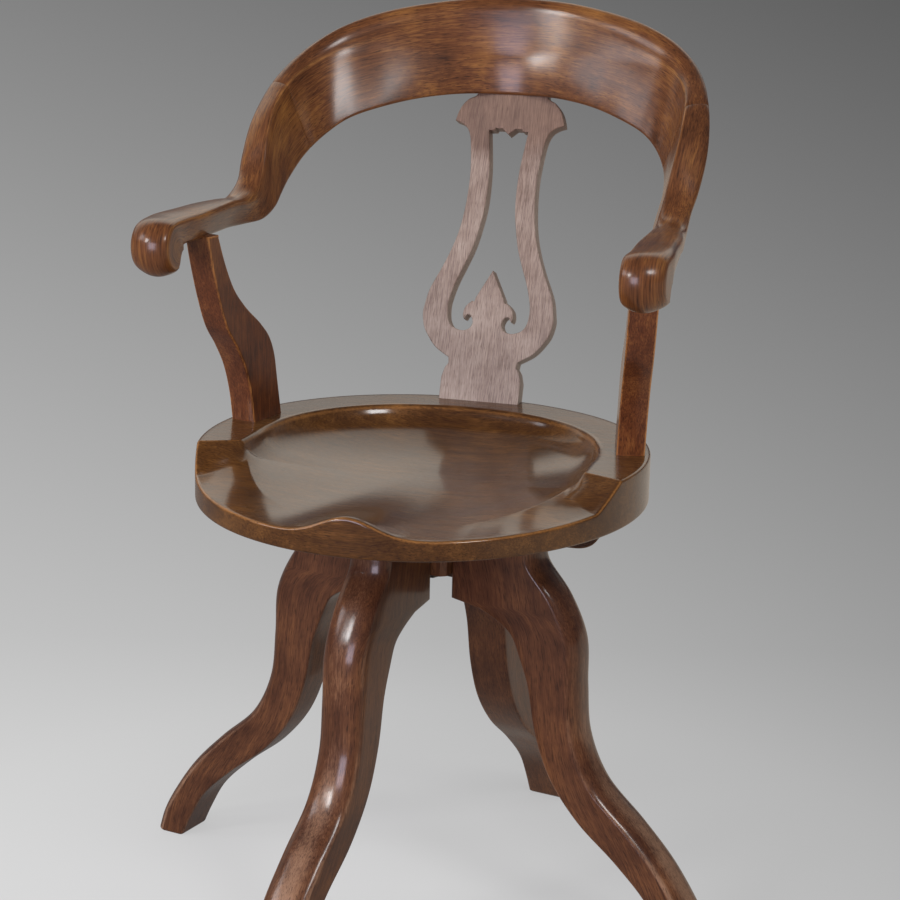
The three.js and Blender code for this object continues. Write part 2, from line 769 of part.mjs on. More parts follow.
function plateWithHole(shape, thickness, holeRadius) {
  const hole = new THREE.Path();
  hole.absarc(0, 0, holeRadius, 0, 2 * Math.PI, true);
  shape.holes.push(hole);
  return new THREE.ExtrudeGeometry(shape, { depth: thickness, bevelEnabled: false, curveSegments: 14 });
}

const spindleHole = spindleRadius + spindleClearance;

function topPlateSolid() {
  const halfX = topPlateWidth / 2;
  const halfY = battenSpacing / 2 + topPlateMargin;
  const corner = topPlateMargin / 2;
  const shape = new THREE.Shape();
  shape.absarc(halfX - corner, halfY - corner, corner, 0, Math.PI / 2);
  shape.absarc(corner - halfX, halfY - corner, corner, Math.PI / 2, Math.PI);
  shape.absarc(corner - halfX, corner - halfY, corner, Math.PI, 1.5 * Math.PI);
  shape.absarc(halfX - corner, corner - halfY, corner, 1.5 * Math.PI, 2 * Math.PI);
  const plate = plateWithHole(shape, plateThickness, spindleHole);
  return cutAll(solidOf(plate, move(0, 0, topPlateUnderside)), battenPlaces.flatMap(topPlateScrewCutters));
}

// Two dowels over each other join a leg head to the block, and the cross's screws stop above them.
const legDowelLow = blockUnderside + 1.5 * legDowelRadius;
const legDowelHeights = [legDowelLow, legDowelLow + 2 * legDowelRadius + 4 * fitGap];
const crossScrewLength = crossTop - legDowelHeights[1] - legDowelRadius - edgeRound;

// The iron cross: a round hub with four arms that reach over the leg heads.
const legHeadReachShare = 0.384;
const crossReach = legReach * legHeadReachShare - legCrown;
const crossScrewOuter = crossReach - 3 * screwHeadRadius;
const crossScrewRadii = [(crossHubRadius + crossScrewOuter) / 2, crossScrewOuter];
const quarterTurns = [0, 1, 2, 3].map((i) => (i * Math.PI) / 2);
const crossScrewMatrix = (turn, radius) =>
  new THREE.Matrix4()
    .makeRotationZ(turn)
    .multiply(move(radius, 0, crossTop))
    .multiply(new THREE.Matrix4().makeRotationX(Math.PI));
const crossScrewCutters = (turn) =>
  crossScrewRadii.map((radius) =>
    solidOf(screwOf(crossScrewLength, fitGap), crossScrewMatrix(turn, radius)),
  );

function crossSolid() {
  const half = crossArmWidth / 2;
  const shape = new THREE.Shape();
  quarterTurns.forEach((turn) => {
    const along = new THREE.Vector2(Math.cos(turn), Math.sin(turn));
    const end = along.clone().multiplyScalar(crossReach - half);
    shape.absarc(end.x, end.y, half, turn - Math.PI / 2, turn + Math.PI / 2);
    const inside = Math.asin(half / crossHubRadius);
    shape.absarc(0, 0, crossHubRadius, turn + inside, turn + Math.PI / 2 - inside);
  });
  const plate = plateWithHole(shape, plateThickness, spindleHole);
  return cutAll(solidOf(plate, move(0, 0, crossUnderside)), quarterTurns.flatMap(crossScrewCutters));
}

// The leg's outer and inner edges in its own upright plane, as shares of its reach and height.
const legOuterShares = [
  [1, 0],
  [0.976, 0.062],
  [0.926, 0.137],
  [0.851, 0.224],
  [0.749, 0.311],
  [0.621, 0.41],
  [0.557, 0.522],
  [0.541, 0.647],
  [0.532, 0.771],
  [0.476, 0.871],
  [0.396, 0.955],
  [legHeadReachShare, 1],
];
const legInnerShares = [
  [0.888, 0],
  [0.853, 0.062],
  [0.8, 0.137],
  [0.692, 0.224],
  [0.562, 0.311],
  [0.466, 0.41],
  [0.411, 0.522],
  [0.38, 0.647],
  [0.35, 0.715],
  [0.318, 0.771],
  [0.27, 0.8],
  [0.205, 0.825],
];
const legRingShares = [
  0, 0.03, 0.062, 0.1, 0.137, 0.18, 0.224, 0.267, 0.311, 0.36, 0.41, 0.466, 0.522, 0.585, 0.647, 0.71, 0.757,
  0.79, 0.81, 0.825,
];
const legHeadShares = [0.838, 0.871, 0.915, 0.955, 1];
const legHeadInner = blockWidth / 2 + fitGap;

// How far out a smooth curve through the shares lies at a height.
function reachAt(shares) {
  const points = shares.map(([reach, rise]) => new THREE.Vector2(reach * legReach, rise * legTop));
  const dense = new THREE.SplineCurve(points).getPoints(shares.length * 12);
  return (height) => {
    const i = THREE.MathUtils.clamp(dense.findIndex((p) => p.y >= height), 1, dense.length - 1);
    const low = dense[i - 1];
    const high = dense[i];
    const share = THREE.MathUtils.clamp((height - low.y) / (high.y - low.y), 0, 1);
    return THREE.MathUtils.lerp(low.x, high.x, share);
  };
}

// One level ring of the leg: two flat cheeks, a flat inner face and a crowned outer face.
function legRing(inner, outer, height) {
  const half = legThickness / 2;
  const crownShares = [-1, -0.8, -0.5, 0, 0.5, 0.8, 1];
  const crown = crownShares.map(
    (share) => new THREE.Vector3(outer - legCrown * Math.abs(share) ** 2.4, share * half, height),
  );
  return [new THREE.Vector3(inner, half, height), new THREE.Vector3(inner, -half, height), ...crown];
}

const legDowelMatrix = (turn, height) =>
  new THREE.Matrix4()
    .makeRotationZ(turn)
    .multiply(move(legDowelCover, 0, height))
    .multiply(new THREE.Matrix4().makeRotationY(Math.PI / 2));
const legDowelCutters = (turn) =>
  legDowelHeights.map((height) =>
    solidOf(
      barOf(legDowelRadius + fitGap, legDowelLength + 2 * fitGap),
      legDowelMatrix(turn, height).multiply(move(0, 0, -fitGap)),
    ),
  );

function legSolid() {
  const outerAt = reachAt(legOuterShares);
  const innerAt = reachAt(legInnerShares);
  const stem = legRingShares.map((rise) => {
    const height = rise * legTop;
    return legRing(innerAt(height), outerAt(height), height);
  });
  const head = legHeadShares.map((rise) => legRing(legHeadInner, outerAt(rise * legTop), rise * legTop));
  return cutAll(solidOf(loft([...stem, ...head])), [...legDowelCutters(0), ...crossScrewCutters(0)]);
}

function blockSolid() {
  const half = blockWidth / 2;
  const inset = half - blockChamfer;
  const shape = new THREE.Shape();
  shape.moveTo(half, -inset);
  shape.lineTo(half, inset);
  shape.lineTo(inset, half);
  shape.lineTo(-inset, half);
  shape.lineTo(-half, inset);
  shape.lineTo(-half, -inset);
  shape.lineTo(-inset, -half);
  shape.lineTo(inset, -half);
  const block = plateWithHole(shape, blockHeight, spindleHole);
  return cutAll(solidOf(block, move(0, 0, blockUnderside)), quarterTurns.flatMap(legDowelCutters));
}

function ringSolid(outerRadius, holeRadius, thickness, low) {
  const shape = new THREE.Shape();
  shape.absarc(0, 0, outerRadius, 0, 2 * Math.PI);
  return solidOf(plateWithHole(shape, thickness, holeRadius), move(0, 0, low));
}

function nutSolid(top) {
  const corners = quarterTurns.length + 2;
  const points = Array.from({ length: corners }, (_, i) => {
    const turn = (i * 2 * Math.PI) / corners;
    return new THREE.Vector2(nutRadius * Math.cos(turn), nutRadius * Math.sin(turn));
  });
  const nut = plateWithHole(new THREE.Shape(points), nutHeight, spindleRadius + fitGap);
  return solidOf(nut, move(0, 0, top - nutHeight));
}

// Seat and bow
const foot = supportTenon(0, fitGap);
const head = supportTenon(1, fitGap);
const mirror = (solid) => solidOf(mirrored(geometryOf(solid)));
const seatCutters = [foot, mirror(foot), splatTenon(0, fitGap), ...battenPlaces.flatMap(battenScrewCutters)];
addMesh(seatGroup, "seat", cutAll(seatBlank(), seatCutters), walnutStain);

const crestStations = bowSections.slice(0, jointStation + 3);
const crestSections = [...crestStations.slice(1).reverse().map(leftOf), ...crestStations];
const crestCutters = [pastJoint(true), ...jointDowelCutters];
const crestBlank = solidOf(loft(bowRings(crestSections)));
addMesh(
  seatGroup,
  "crest_rail",
  cutAll(crestBlank, [...crestCutters, ...crestCutters.map(mirror), splatTenon(1, fitGap)]),
  walnutStain,
);

const armSections = bowSections.slice(jointStation - 3);
const armRings = [
  ...bowRings(armSections),
  ...scrollSections(bowSections[bowSections.length - 1]).map(bowRing),
];
const rightArm = cutAll(solidOf(loft(armRings)), [pastJoint(false), ...jointDowelCutters, head]);
addMesh(seatGroup, "arm_right", rightArm, walnutStain);
addMesh(seatGroup, "arm_left", mirror(rightArm), walnutStain);

const rightSupport = supportSolid();
addMesh(seatGroup, "arm_support_right", rightSupport, walnutStain);
addMesh(seatGroup, "arm_support_left", mirror(rightSupport), walnutStain);
addMesh(seatGroup, "back_splat", splatSolid(), paleOak);

const jointNames = ["lower", "upper"];
jointDowelShares.forEach((share, i) => {
  const dowel = solidOf(barOf(bowDowelRadius, bowDowelLength, 16), jointDowelMatrix(share));
  addMesh(seatGroup, `bow_dowel_right_${jointNames[i]}`, dowel, rawBeech);
  addMesh(seatGroup, `bow_dowel_left_${jointNames[i]}`, mirror(dowel), rawBeech);
});

// Bearers and the swivel's moving half
const battenNames = ["front", "rear"];
battenPlaces.forEach((y, i) => {
  addMesh(seatGroup, `seat_batten_${battenNames[i]}`, battenSolid(y), walnutStain);
  ["left", "right"].forEach((side, j) => {
    const x = [-1, 1][j];
    const battenScrew = addMesh(
      seatGroup,
      `batten_screw_${battenNames[i]}_${side}`,
      screwOf(battenScrewLength),
      screwSteel,
    );
    battenScrew.applyMatrix4(battenScrewMatrix(x * battenScrewX, y));
    const plateScrew = addMesh(
      seatGroup,
      `top_plate_screw_${battenNames[i]}_${side}`,
      screwOf(plateScrewLength),
      screwSteel,
    );
    plateScrew.applyMatrix4(topPlateScrewMatrix(x * topPlateScrewX, y));
  });
});
addMesh(seatGroup, "swivel_top_plate", topPlateSolid(), blackIron);

const spindleWasherTop = blockUnderside - fitGap;
const nutTop = spindleWasherTop - spindleWasherThickness - fitGap;
const spindleFoot = nutTop - nutHeight - spindleTail;
const spindleHeadFoot = topPlateTop + fitGap;
const spindleProfile = [
  [0, spindleFoot],
  [spindleRadius - edgeRound / 2, spindleFoot],
  [spindleRadius, spindleFoot + edgeRound / 2],
  [spindleRadius, spindleHeadFoot],
  [spindleHeadRadius, spindleHeadFoot],
  [spindleHeadRadius, spindleHeadFoot + spindleHeadHeight / 2],
  [spindleHeadRadius / 2, spindleHeadFoot + spindleHeadHeight],
  [0, spindleHeadFoot + spindleHeadHeight],
].map(([radius, height]) => new THREE.Vector2(radius, height));
const spindle = new THREE.LatheGeometry(spindleProfile, 28);
spindle.rotateX(Math.PI / 2);
addMesh(seatGroup, "swivel_spindle", solidOf(shellOf(...pointsAndFaces(spindle))), blackIron);
addMesh(
  seatGroup,
  "spindle_washer",
  ringSolid(
    spindleWasherRadius,
    spindleHole,
    spindleWasherThickness,
    spindleWasherTop - spindleWasherThickness,
  ),
  screwSteel,
);
addMesh(seatGroup, "spindle_nut", nutSolid(nutTop), screwSteel);

// Base: block, legs, the iron cross and the thrust washer on it
addMesh(baseGroup, "leg_block", blockSolid(), walnutStain);
addMesh(baseGroup, "swivel_bottom_plate", crossSolid(), blackIron);
addMesh(
  baseGroup,
  "thrust_washer",
  ringSolid(thrustRadius, spindleHole, thrustThickness, thrustTop - thrustThickness),
  screwSteel,
);
const leg = geometryOf(legSolid());
const legNames = ["right", "back", "left", "front"];
legNames.forEach((name, i) => {
  const mesh = addMesh(baseGroup, `leg_${name}`, leg.clone(), walnutStain);
  mesh.rotation.z = quarterTurns[i];
  legDowelHeights.forEach((height, j) => {
    const dowel = addMesh(
      baseGroup,
      `leg_dowel_${name}_${jointNames[j]}`,
      barOf(legDowelRadius, legDowelLength, 16),
      rawBeech,
    );
    dowel.applyMatrix4(legDowelMatrix(quarterTurns[i], height));
  });
  crossScrewRadii.forEach((radius, j) => {
    const screw = addMesh(
      baseGroup,
      `bottom_plate_screw_${name}_${["inner", "outer"][j]}`,
      screwOf(crossScrewLength),
      screwSteel,
    );
    screw.applyMatrix4(crossScrewMatrix(quarterTurns[i], radius));
  });
});

export default group;
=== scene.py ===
"""Bankers swivel chair: visible pieces and finishes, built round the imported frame.

Sizes in the classes are in millimetres. Blender gets metres, in the frame's own place: the floor is
z = 0, the swivel axis is x = y = 0, and the seat's front is towards -y.
"""

from __future__ import annotations

import json
import logging
from collections.abc import Callable, Sequence
from dataclasses import dataclass
from enum import Enum
from functools import partial

import bmesh
import bpy
import numpy as np
from mathutils import Matrix, Vector
from mathutils.geometry import tessellate_polygon

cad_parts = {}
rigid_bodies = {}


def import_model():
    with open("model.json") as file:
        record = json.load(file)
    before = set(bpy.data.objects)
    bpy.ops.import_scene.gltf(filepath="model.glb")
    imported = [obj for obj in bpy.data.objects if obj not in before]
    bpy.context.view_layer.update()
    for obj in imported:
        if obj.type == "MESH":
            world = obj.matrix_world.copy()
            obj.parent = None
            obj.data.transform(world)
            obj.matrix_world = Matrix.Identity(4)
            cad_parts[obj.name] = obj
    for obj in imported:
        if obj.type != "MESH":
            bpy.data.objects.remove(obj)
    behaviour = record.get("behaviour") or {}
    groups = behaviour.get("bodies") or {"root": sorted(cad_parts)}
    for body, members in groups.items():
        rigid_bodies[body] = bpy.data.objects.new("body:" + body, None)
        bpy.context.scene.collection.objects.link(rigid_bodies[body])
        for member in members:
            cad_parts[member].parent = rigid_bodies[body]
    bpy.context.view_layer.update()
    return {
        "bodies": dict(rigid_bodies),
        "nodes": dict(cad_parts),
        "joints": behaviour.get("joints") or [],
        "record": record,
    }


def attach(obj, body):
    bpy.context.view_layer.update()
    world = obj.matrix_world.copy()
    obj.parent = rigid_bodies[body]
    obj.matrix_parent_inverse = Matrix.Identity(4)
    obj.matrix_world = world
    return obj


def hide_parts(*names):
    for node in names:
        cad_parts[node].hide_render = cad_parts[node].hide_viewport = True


LOG = logging.getLogger("chair")
MM = 0.001
PHOTO_PIXELS = 900
UP = np.array([0.0, 0.0, 1.0])
MIRROR = np.array([-1.0, 1.0, 1.0])
SMOOTH_ANGLE = np.radians(38.0)
# The least cosine by which an inset's length is divided at a sharp corner.
SHARPEST_CORNER = 0.55
# Where a board's flat face begins, as a share of its edge's rounding.
FLAT_RIM = 1.4
Array = np.ndarray
Adder = Callable[..., bpy.types.Node]


def unit(vectors: Array) -> Array:
    """Scales vectors to length one."""
    return vectors / np.maximum(np.linalg.norm(vectors, axis=-1, keepdims=True), 1e-9)


def join(*parts: Array, axis: int = 0) -> Array:
    """Joins arrays end to end along an axis."""
    return np.concatenate(parts, axis=axis)


def dot(a: Array, b: Array) -> Array:
    """Multiplies vectors along their last axis and adds up, keeping that axis."""
    return np.sum(a * b, axis=-1, keepdims=True)


def through(points: Array, steps: int) -> Array:
    """Draws a smooth curve through points, for any number of curves at once.

    Each stretch is a cubic. Its slope at a point comes from the neighbours on both sides, weighed by
    the square root of their distance, so that uneven spacing makes no loops.

    Args:
        points: the points in their first axis, coordinates in their last.
        steps: samples from one point to the next.

    Returns:
        The samples in the first axis, the last point included.
    """
    ahead = 2 * points[:1] - points[1:2]
    behind = 2 * points[-1:] - points[-2:-1]
    p = join(ahead, points, behind)
    gaps = np.sqrt(np.linalg.norm(np.diff(p, axis=0), axis=-1, keepdims=True))
    gaps = np.maximum(gaps, 1e-3)
    a, b, c, d = p[:-3], p[1:-2], p[2:-1], p[3:]
    before, here, after = gaps[:-2], gaps[1:-1], gaps[2:]
    leave = ((b - a) / before - (c - a) / (before + here) + (c - b) / here) * here
    reach = ((c - b) / here - (d - b) / (here + after) + (d - c) / after) * here
    t = np.linspace(0, 1, steps, endpoint=False).reshape((1, steps) + (1,) * (points.ndim - 1))
    cubic = (
        (2 * t**3 - 3 * t**2 + 1) * b[:, None]
        + (t**3 - 2 * t**2 + t) * leave[:, None]
        + (3 * t**2 - 2 * t**3) * c[:, None]
        + (t**3 - t**2) * reach[:, None]
    )
    return join(cubic.reshape((-1,) + points.shape[1:]), points[-1:])


def smooth(share: Array) -> Array:
    """Eases a share from 0 to 1 in and out, and holds it at both ends."""
    share = np.clip(share, 0, 1)
    return share**2 * (3 - 2 * share)


def bend(start: Array, control: Array, end: Array, count: int, low: Array | float = 0.0,
         high: Array | float = 1.0) -> Array:
    """Samples quadratic curves: they leave start towards control and arrive at end from it.

    Args:
        start: first points, one row for each curve.
        control: control points.
        end: last points.
        count: samples on each curve.
        low: where on each curve sampling starts, as a share of it.
        high: where it ends.

    Returns:
        An array of rows, samples and coordinates.
    """
    rows = start.shape[:-1]
    first = np.broadcast_to(np.asarray(low, float), rows)[..., None]
    last = np.broadcast_to(np.asarray(high, float), rows)[..., None]
    t = (first + (last - first) * np.linspace(0, 1, count))[..., None]
    start, control, end = (corner[..., None, :] for corner in (start, control, end))
    return (1 - t) ** 2 * start + 2 * t * (1 - t) * control + t**2 * end


def line(start: Array, end: Array, count: int) -> Array:
    """Samples straight lines between rows of points, both ends included."""
    t = np.linspace(0, 1, count)[:, None]
    return start[..., None, :] * (1 - t) + end[..., None, :] * t


def arch(count: int, power: float = 1.0) -> Array:
    """Rises towards 1 in the middle of a strip of points and falls again, as a sine to a power."""
    return np.sin(np.linspace(0, np.pi, count + 2))[1:-1] ** power


def level_rows(values: Array, around: int) -> Array:
    """Repeats one value a ring for all its points, as a last coordinate."""
    return np.broadcast_to(values[:, None, None], (len(values), around, 1))


def ring_faces(rings: int, around: int, start: int = 0) -> list[list[int]]:
    """Lists the four-sided faces between closed rings, whose points are numbered ring after ring.

    Args:
        rings: how many.
        around: points in each.
        start: the first point's number.

    Returns:
        Four point numbers for each face.
    """
    i = start + np.arange(rings - 1)[:, None] * around
    j = np.arange(around)[None, :]
    k = (j + 1) % around
    return np.stack([i + j, i + k, i + around + k, i + around + j], axis=-1).reshape(-1, 4).tolist()


@dataclass
class Skin:
    """A closed surface: its points, faces, place in the timber, and wear, from 0 to 1, which also carries
    painted light on the splat and painted sheen on the legs.
    """

    points: Array
    faces: list[list[int]]
    grain: Array
    wear: Array

    def moved(self, matrix: Array) -> "Skin":
        """Returns the surface turned by a 3 by 3 matrix. The timber turns with it."""
        return Skin(self.points @ matrix.T, self.faces, self.grain, self.wear)


def tube(rows: Array, grain: Array, wear: Array) -> Skin:
    """Closes a grid of rings into a solid skin, with a flat fan on each end ring.

    Args:
        rows: rings in the first axis, points round each ring in the second.
        grain: place in the timber of each point, in the same layout.
        wear: wear of each point.

    Returns:
        The skin.
    """
    count, around = rows.shape[:2]
    first, last = count * around, count * around + 1
    ring = np.arange(around)
    after = (ring + 1) % around
    low = np.stack([np.full(around, first), after, ring], axis=-1)
    shift = (count - 1) * around
    high = np.stack([np.full(around, last), ring + shift, after + shift], axis=-1)
    points = join(rows.reshape(-1, 3), rows[0].mean(0)[None], rows[-1].mean(0)[None])
    timber = join(grain.reshape(-1, 3), grain[0].mean(0)[None], grain[-1].mean(0)[None])
    worn = join(wear.reshape(-1), [0.0, 0.0])
    return Skin(points, ring_faces(count, around) + low.tolist() + high.tolist(), timber, worn)


def loop_normals(loop: Array) -> Array:
    """Finds the direction to the right of each point of a closed flat outline.

    Args:
        loop: the outline's points in a plane.

    Returns:
        One vector for each point, longer at sharp corners, so that an inset keeps its width there.
    """
    ahead = unit(np.roll(loop, -1, axis=0) - loop)
    behind = np.roll(ahead, 1, axis=0)
    right = unit(np.stack([ahead[:, 1] + behind[:, 1], -ahead[:, 0] - behind[:, 0]], axis=-1))
    side = np.stack([ahead[:, 1], -ahead[:, 0]], axis=-1)
    return right / np.maximum(dot(right, side), SHARPEST_CORNER)


def board(loops: Sequence[Array], thickness: float, rounding: float, frame: Array) -> Skin:
    """Builds a flat board with rounded edges from its outline and its holes.

    The edge's section is a quarter circle at each face. The faces are flat and cut into triangles.

    Args:
        loops: the outline, counterclockwise, then the holes, clockwise, in the board's plane.
        thickness: from the plane backwards.
        rounding: radius of the edges.
        frame: 3 by 4 matrix from across, up, out and 1 to the chair's frame.

    Returns:
        The skin, with its grain upright in the board's plane and wear on its edges.
    """
    turns = np.radians([0.0, 22.5, 45.0, 67.5, 90.0])
    insets = join([rounding * FLAT_RIM], rounding * (1 - np.sin(turns)))
    depths = join([0.0], rounding * (1 - np.cos(turns)))
    inset = join(insets, insets[::-1])
    depth = join(-depths, depths[::-1] - thickness)
    worn = join([0.0, 0.35, 0.9, 1.0, 0.6, 0.1], [0.1, 0.4, 0.6, 0.6, 0.2, 0.0])
    points, faces, wears, start = [], [], [], 0
    for loop in loops:
        count = len(loop)
        flat = loop[None] - loop_normals(loop)[None] * inset[:, None, None]
        points.append(join(flat, level_rows(depth, count), axis=-1).reshape(-1, 3))
        wears.append(np.repeat(worn, count))
        faces += ring_faces(len(inset), count, start)
        start += count * len(inset)
    offset = np.cumsum([0] + [len(loop) * len(inset) for loop in loops])
    for row in (0, len(inset) - 1):
        rings = [p.reshape(len(inset), -1, 3)[row] for p in points]
        index = join(*(offset[n] + row * len(r) + np.arange(len(r)) for n, r in enumerate(rings)))
        triangles = tessellate_polygon([[Vector((x, y, 0.0)) for x, y, _ in ring] for ring in rings])
        faces += [[int(index[a]), int(index[b]), int(index[c])] for a, b, c in triangles]
    flat = join(*points)
    placed = join(flat, np.ones((len(flat), 1)), axis=1) @ frame.T
    return Skin(placed, faces, flat[:, [1, 0, 2]], join(*wears))


def make_piece(name: str, skin: Skin, body: str, nodes: Sequence[str],
               material: bpy.types.Material) -> bpy.types.Object:
    """Puts a skin into Blender in place of CAD nodes.

    Args:
        name: the piece's name.
        skin: its surface, in millimetres.
        body: the CAD body that it rides on.
        nodes: the CAD nodes that it stands for.
        material: its finish.

    Returns:
        The new object.
    """
    mesh = bpy.data.meshes.new(name)
    mesh.from_pydata((skin.points * MM).tolist(), [], skin.faces)
    timber = mesh.attributes.new("grain", "FLOAT_VECTOR", "POINT")
    timber.data.foreach_set("vector", (skin.grain * MM).astype(np.float32).ravel())
    worn = mesh.attributes.new("wear", "FLOAT", "POINT")
    worn.data.foreach_set("value", skin.wear.astype(np.float32))
    cage = bmesh.new()
    cage.from_mesh(mesh)
    bmesh.ops.recalc_face_normals(cage, faces=cage.faces)
    cage.to_mesh(mesh)
    cage.free()
    mesh.shade_smooth()
    mesh.set_sharp_from_angle(angle=SMOOTH_ANGLE)
    mesh.materials.append(material)
    piece = bpy.data.objects.new(name, mesh)
    bpy.context.scene.collection.objects.link(piece)
    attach(piece, body)
    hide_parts(*nodes)
    LOG.info("%s: %d points, %d faces", name, len(skin.points), len(skin.faces))
    return piece


def colour(code: str) -> tuple[float, float, float, float]:
    """Turns an sRGB hex value into the linear colour that nodes take.

    Args:
        code: such as #8a5a3a.

    Returns:
        Red, green, blue and an alpha of 1.
    """
    values = [int(code[i:i + 2], 16) / 255 for i in (1, 3, 5)]
    linear = [v / 12.92 if v <= 0.04045 else ((v + 0.055) / 1.055) ** 2.4 for v in values]
    return (linear[0], linear[1], linear[2], 1.0)


def add_node(tree: bpy.types.NodeTree, kind: str, feeds: dict[str | int, object] | None = None,
             **settings: object) -> bpy.types.Node:
    """Adds a node, sets its properties and feeds its sockets.

    Args:
        tree: the node tree.
        kind: the node's type, without ShaderNode in front.
        feeds: by socket, a value, an output socket, or a node, which stands for its first output.
        settings: the node's own properties.

    Returns:
        The node.
    """
    node = tree.nodes.new("ShaderNode" + kind)
    for key, value in settings.items():
        setattr(node, key, value)
    for key, value in (feeds or {}).items():
        if isinstance(value, bpy.types.Node):
            value = value.outputs[0]
        if isinstance(value, bpy.types.NodeSocket):
            tree.links.new(value, node.inputs[key])
        else:
            node.inputs[key].default_value = value
    return node


def new_material(name: str) -> tuple[bpy.types.Material, Adder]:
    """Makes a material with an empty node tree.

    Args:
        name: what the real material is.

    Returns:
        The material, and add_node for its tree.
    """
    material = bpy.data.materials.new(name)
    material.use_nodes = True
    material.node_tree.nodes.clear()
    return material, partial(add_node, material.node_tree)


class Grain(Enum):
    """Where a wood finish takes its place in the timber from."""

    CARRIED = "grain"
    UPRIGHT = (0.0, 90.0, 0.0)
    LEVEL = (0.0, 0.0, 0.0)


@dataclass(frozen=True)
class PolishedOak:
    """Plain and quarter-sawn oak under old shellac polish.

    Growth rings show as soft bands and open pores as dark dashes along the grain. Real pores are about
    0.2 mm wide and 3 mm long, too fine to show, so they are drawn four times as large. The polish is a
    clear coat over rough wood, and has worn through to paler wood where hands and feet rub. The same
    paler colour also paints light: on the splat it is only painted light, and on the legs' crowns and
    feet it is partly painted sheen.
    """

    name: str
    dark: str
    middle: str
    light: str
    worn: str
    pore: str = "#24130c"
    grain: Grain = Grain.CARRIED
    roughness: float = 0.45
    roughness_low: float = 0.07
    roughness_high: float = 0.1
    specular: float = 0.12
    coat: float = 0.75
    coat_roughness: float = 0.22
    ring_mm: float = 9.0
    ring_length_mm: float = 200.0
    streak_mm: float = 1.5
    streak_length_mm: float = 30.0
    pore_mm: float = 0.8
    pore_length_mm: float = 11.0
    pore_depth_mm: float = 0.1
    pore_strength: float = 0.6
    patch_mm: float = 60.0
    drift_mm: float = 50.0
    drift_length_mm: float = 160.0
    sway_mm: float = 12.0
    ring_share: float = 0.22
    streak_share: float = 0.38
    wear_and_light_share: float = 0.6
    wear_breakup: float = 0.8
    bump: float = 0.35

    def pattern(self, add: Adder, place: object, sizes: tuple[float, float], detail: float,
                rough: float) -> bpy.types.Node:
        """Draws cloudy noise out along the grain.

        Args:
            add: add_node for the material's tree.
            place: the socket or node that gives the place in the timber, its grain along x.
            sizes: length and width of a cloud, in millimetres.
            detail: how many times finer clouds are laid over it.
            rough: how strong the finer clouds are.

        Returns:
            The noise.
        """
        length, width = sizes
        scaled = add("Mapping", {
            "Vector": place, "Scale": (1 / (length * MM), 1 / (width * MM), 1 / (width * MM))})
        return add("TexNoise", {
            "Vector": scaled, "Scale": 1.0, "Detail": detail, "Roughness": rough})

    def make(self) -> bpy.types.Material:
        """Builds the material.

        Returns:
            The material, which reads the grain and wear attributes or the object's own coordinates.
        """
        material, add = new_material(self.name)
        if self.grain is Grain.CARRIED:
            place = add("Attribute", attribute_name="grain").outputs["Vector"]
        else:
            place = add("Mapping", {
                "Vector": add("TexCoord").outputs["Object"],
                "Rotation": tuple(np.radians(self.grain.value))})
        drift = self.pattern(add, place, (self.drift_length_mm, self.drift_mm), 2.0, 0.5)
        sway = (0.0, self.sway_mm * MM, self.sway_mm * MM)
        swung = add("VectorMath", {0: drift.outputs["Color"], 1: sway, 2: place}, operation="MULTIPLY_ADD")
        rings = self.pattern(add, swung, (self.ring_length_mm, self.ring_mm), 3.0, 0.65)
        streaks = self.pattern(add, swung, (self.streak_length_mm, self.streak_mm), 5.0, 0.65)
        dashes = self.pattern(add, place, (self.pore_length_mm, self.pore_mm), 1.0, 0.5)
        patches = self.pattern(add, place, (self.patch_mm, self.patch_mm), 4.0, 0.6)
        pores = add("MapRange", {"Value": dashes, "From Min": 0.55, "From Max": 0.7},
                    interpolation_type="SMOOTHSTEP")

        shares = (self.streak_share, self.ring_share, 1 - self.ring_share - self.streak_share)
        tone = 0.0
        for field, share in zip((streaks, rings, patches), shares):
            tone = add("Math", {0: field, 1: share, 2: tone}, operation="MULTIPLY_ADD")
        ramp = add("ValToRGB", {"Fac": tone})
        stops = ramp.color_ramp.elements
        stops[0].position, stops[0].color = 0.36, colour(self.dark)
        stops[1].position, stops[1].color = 0.64, colour(self.light)
        stops.new(0.5).color = colour(self.middle)

        uneven = add("Attribute", attribute_name="wear").outputs["Fac"]
        for field in (streaks, patches):
            uneven = add("Math", {0: field, 1: self.wear_breakup, 2: uneven}, operation="MULTIPLY_ADD")
        # The paler worn colour is rubbed wear on most pieces; on the splat it is painted light, and on the
        # legs it is partly painted sheen.
        rubbed = add("MapRange", {
            "Value": uneven, "From Min": 1.0, "From Max": 1.9, "To Max": self.wear_and_light_share},
            interpolation_type="SMOOTHSTEP")
        worn = add("Mix", {0: rubbed, 6: ramp, 7: colour(self.worn)}, data_type="RGBA")
        pored = add("Math", {0: pores, 1: self.pore_strength}, operation="MULTIPLY")
        base = add("Mix", {0: pored, 6: worn.outputs[2], 7: colour(self.pore)}, data_type="RGBA")

        gloss = add("MapRange", {
            "Value": patches, "From Min": 0.35, "From Max": 0.65,
            "To Min": self.roughness - self.roughness_low, "To Max": self.roughness + self.roughness_high})
        height = add("Math", {0: pores, 1: -1.0, 2: streaks}, operation="MULTIPLY_ADD")
        bump = add("Bump", {"Strength": self.bump, "Distance": self.pore_depth_mm * MM, "Height": height})
        shader = add("BsdfPrincipled", {
            "Base Color": base.outputs[2], "Roughness": gloss, "IOR": 1.5, "Normal": bump,
            "Specular IOR Level": self.specular, "Coat Weight": self.coat,
            "Coat Roughness": self.coat_roughness})
        add("OutputMaterial", {"Surface": shader})
        return material


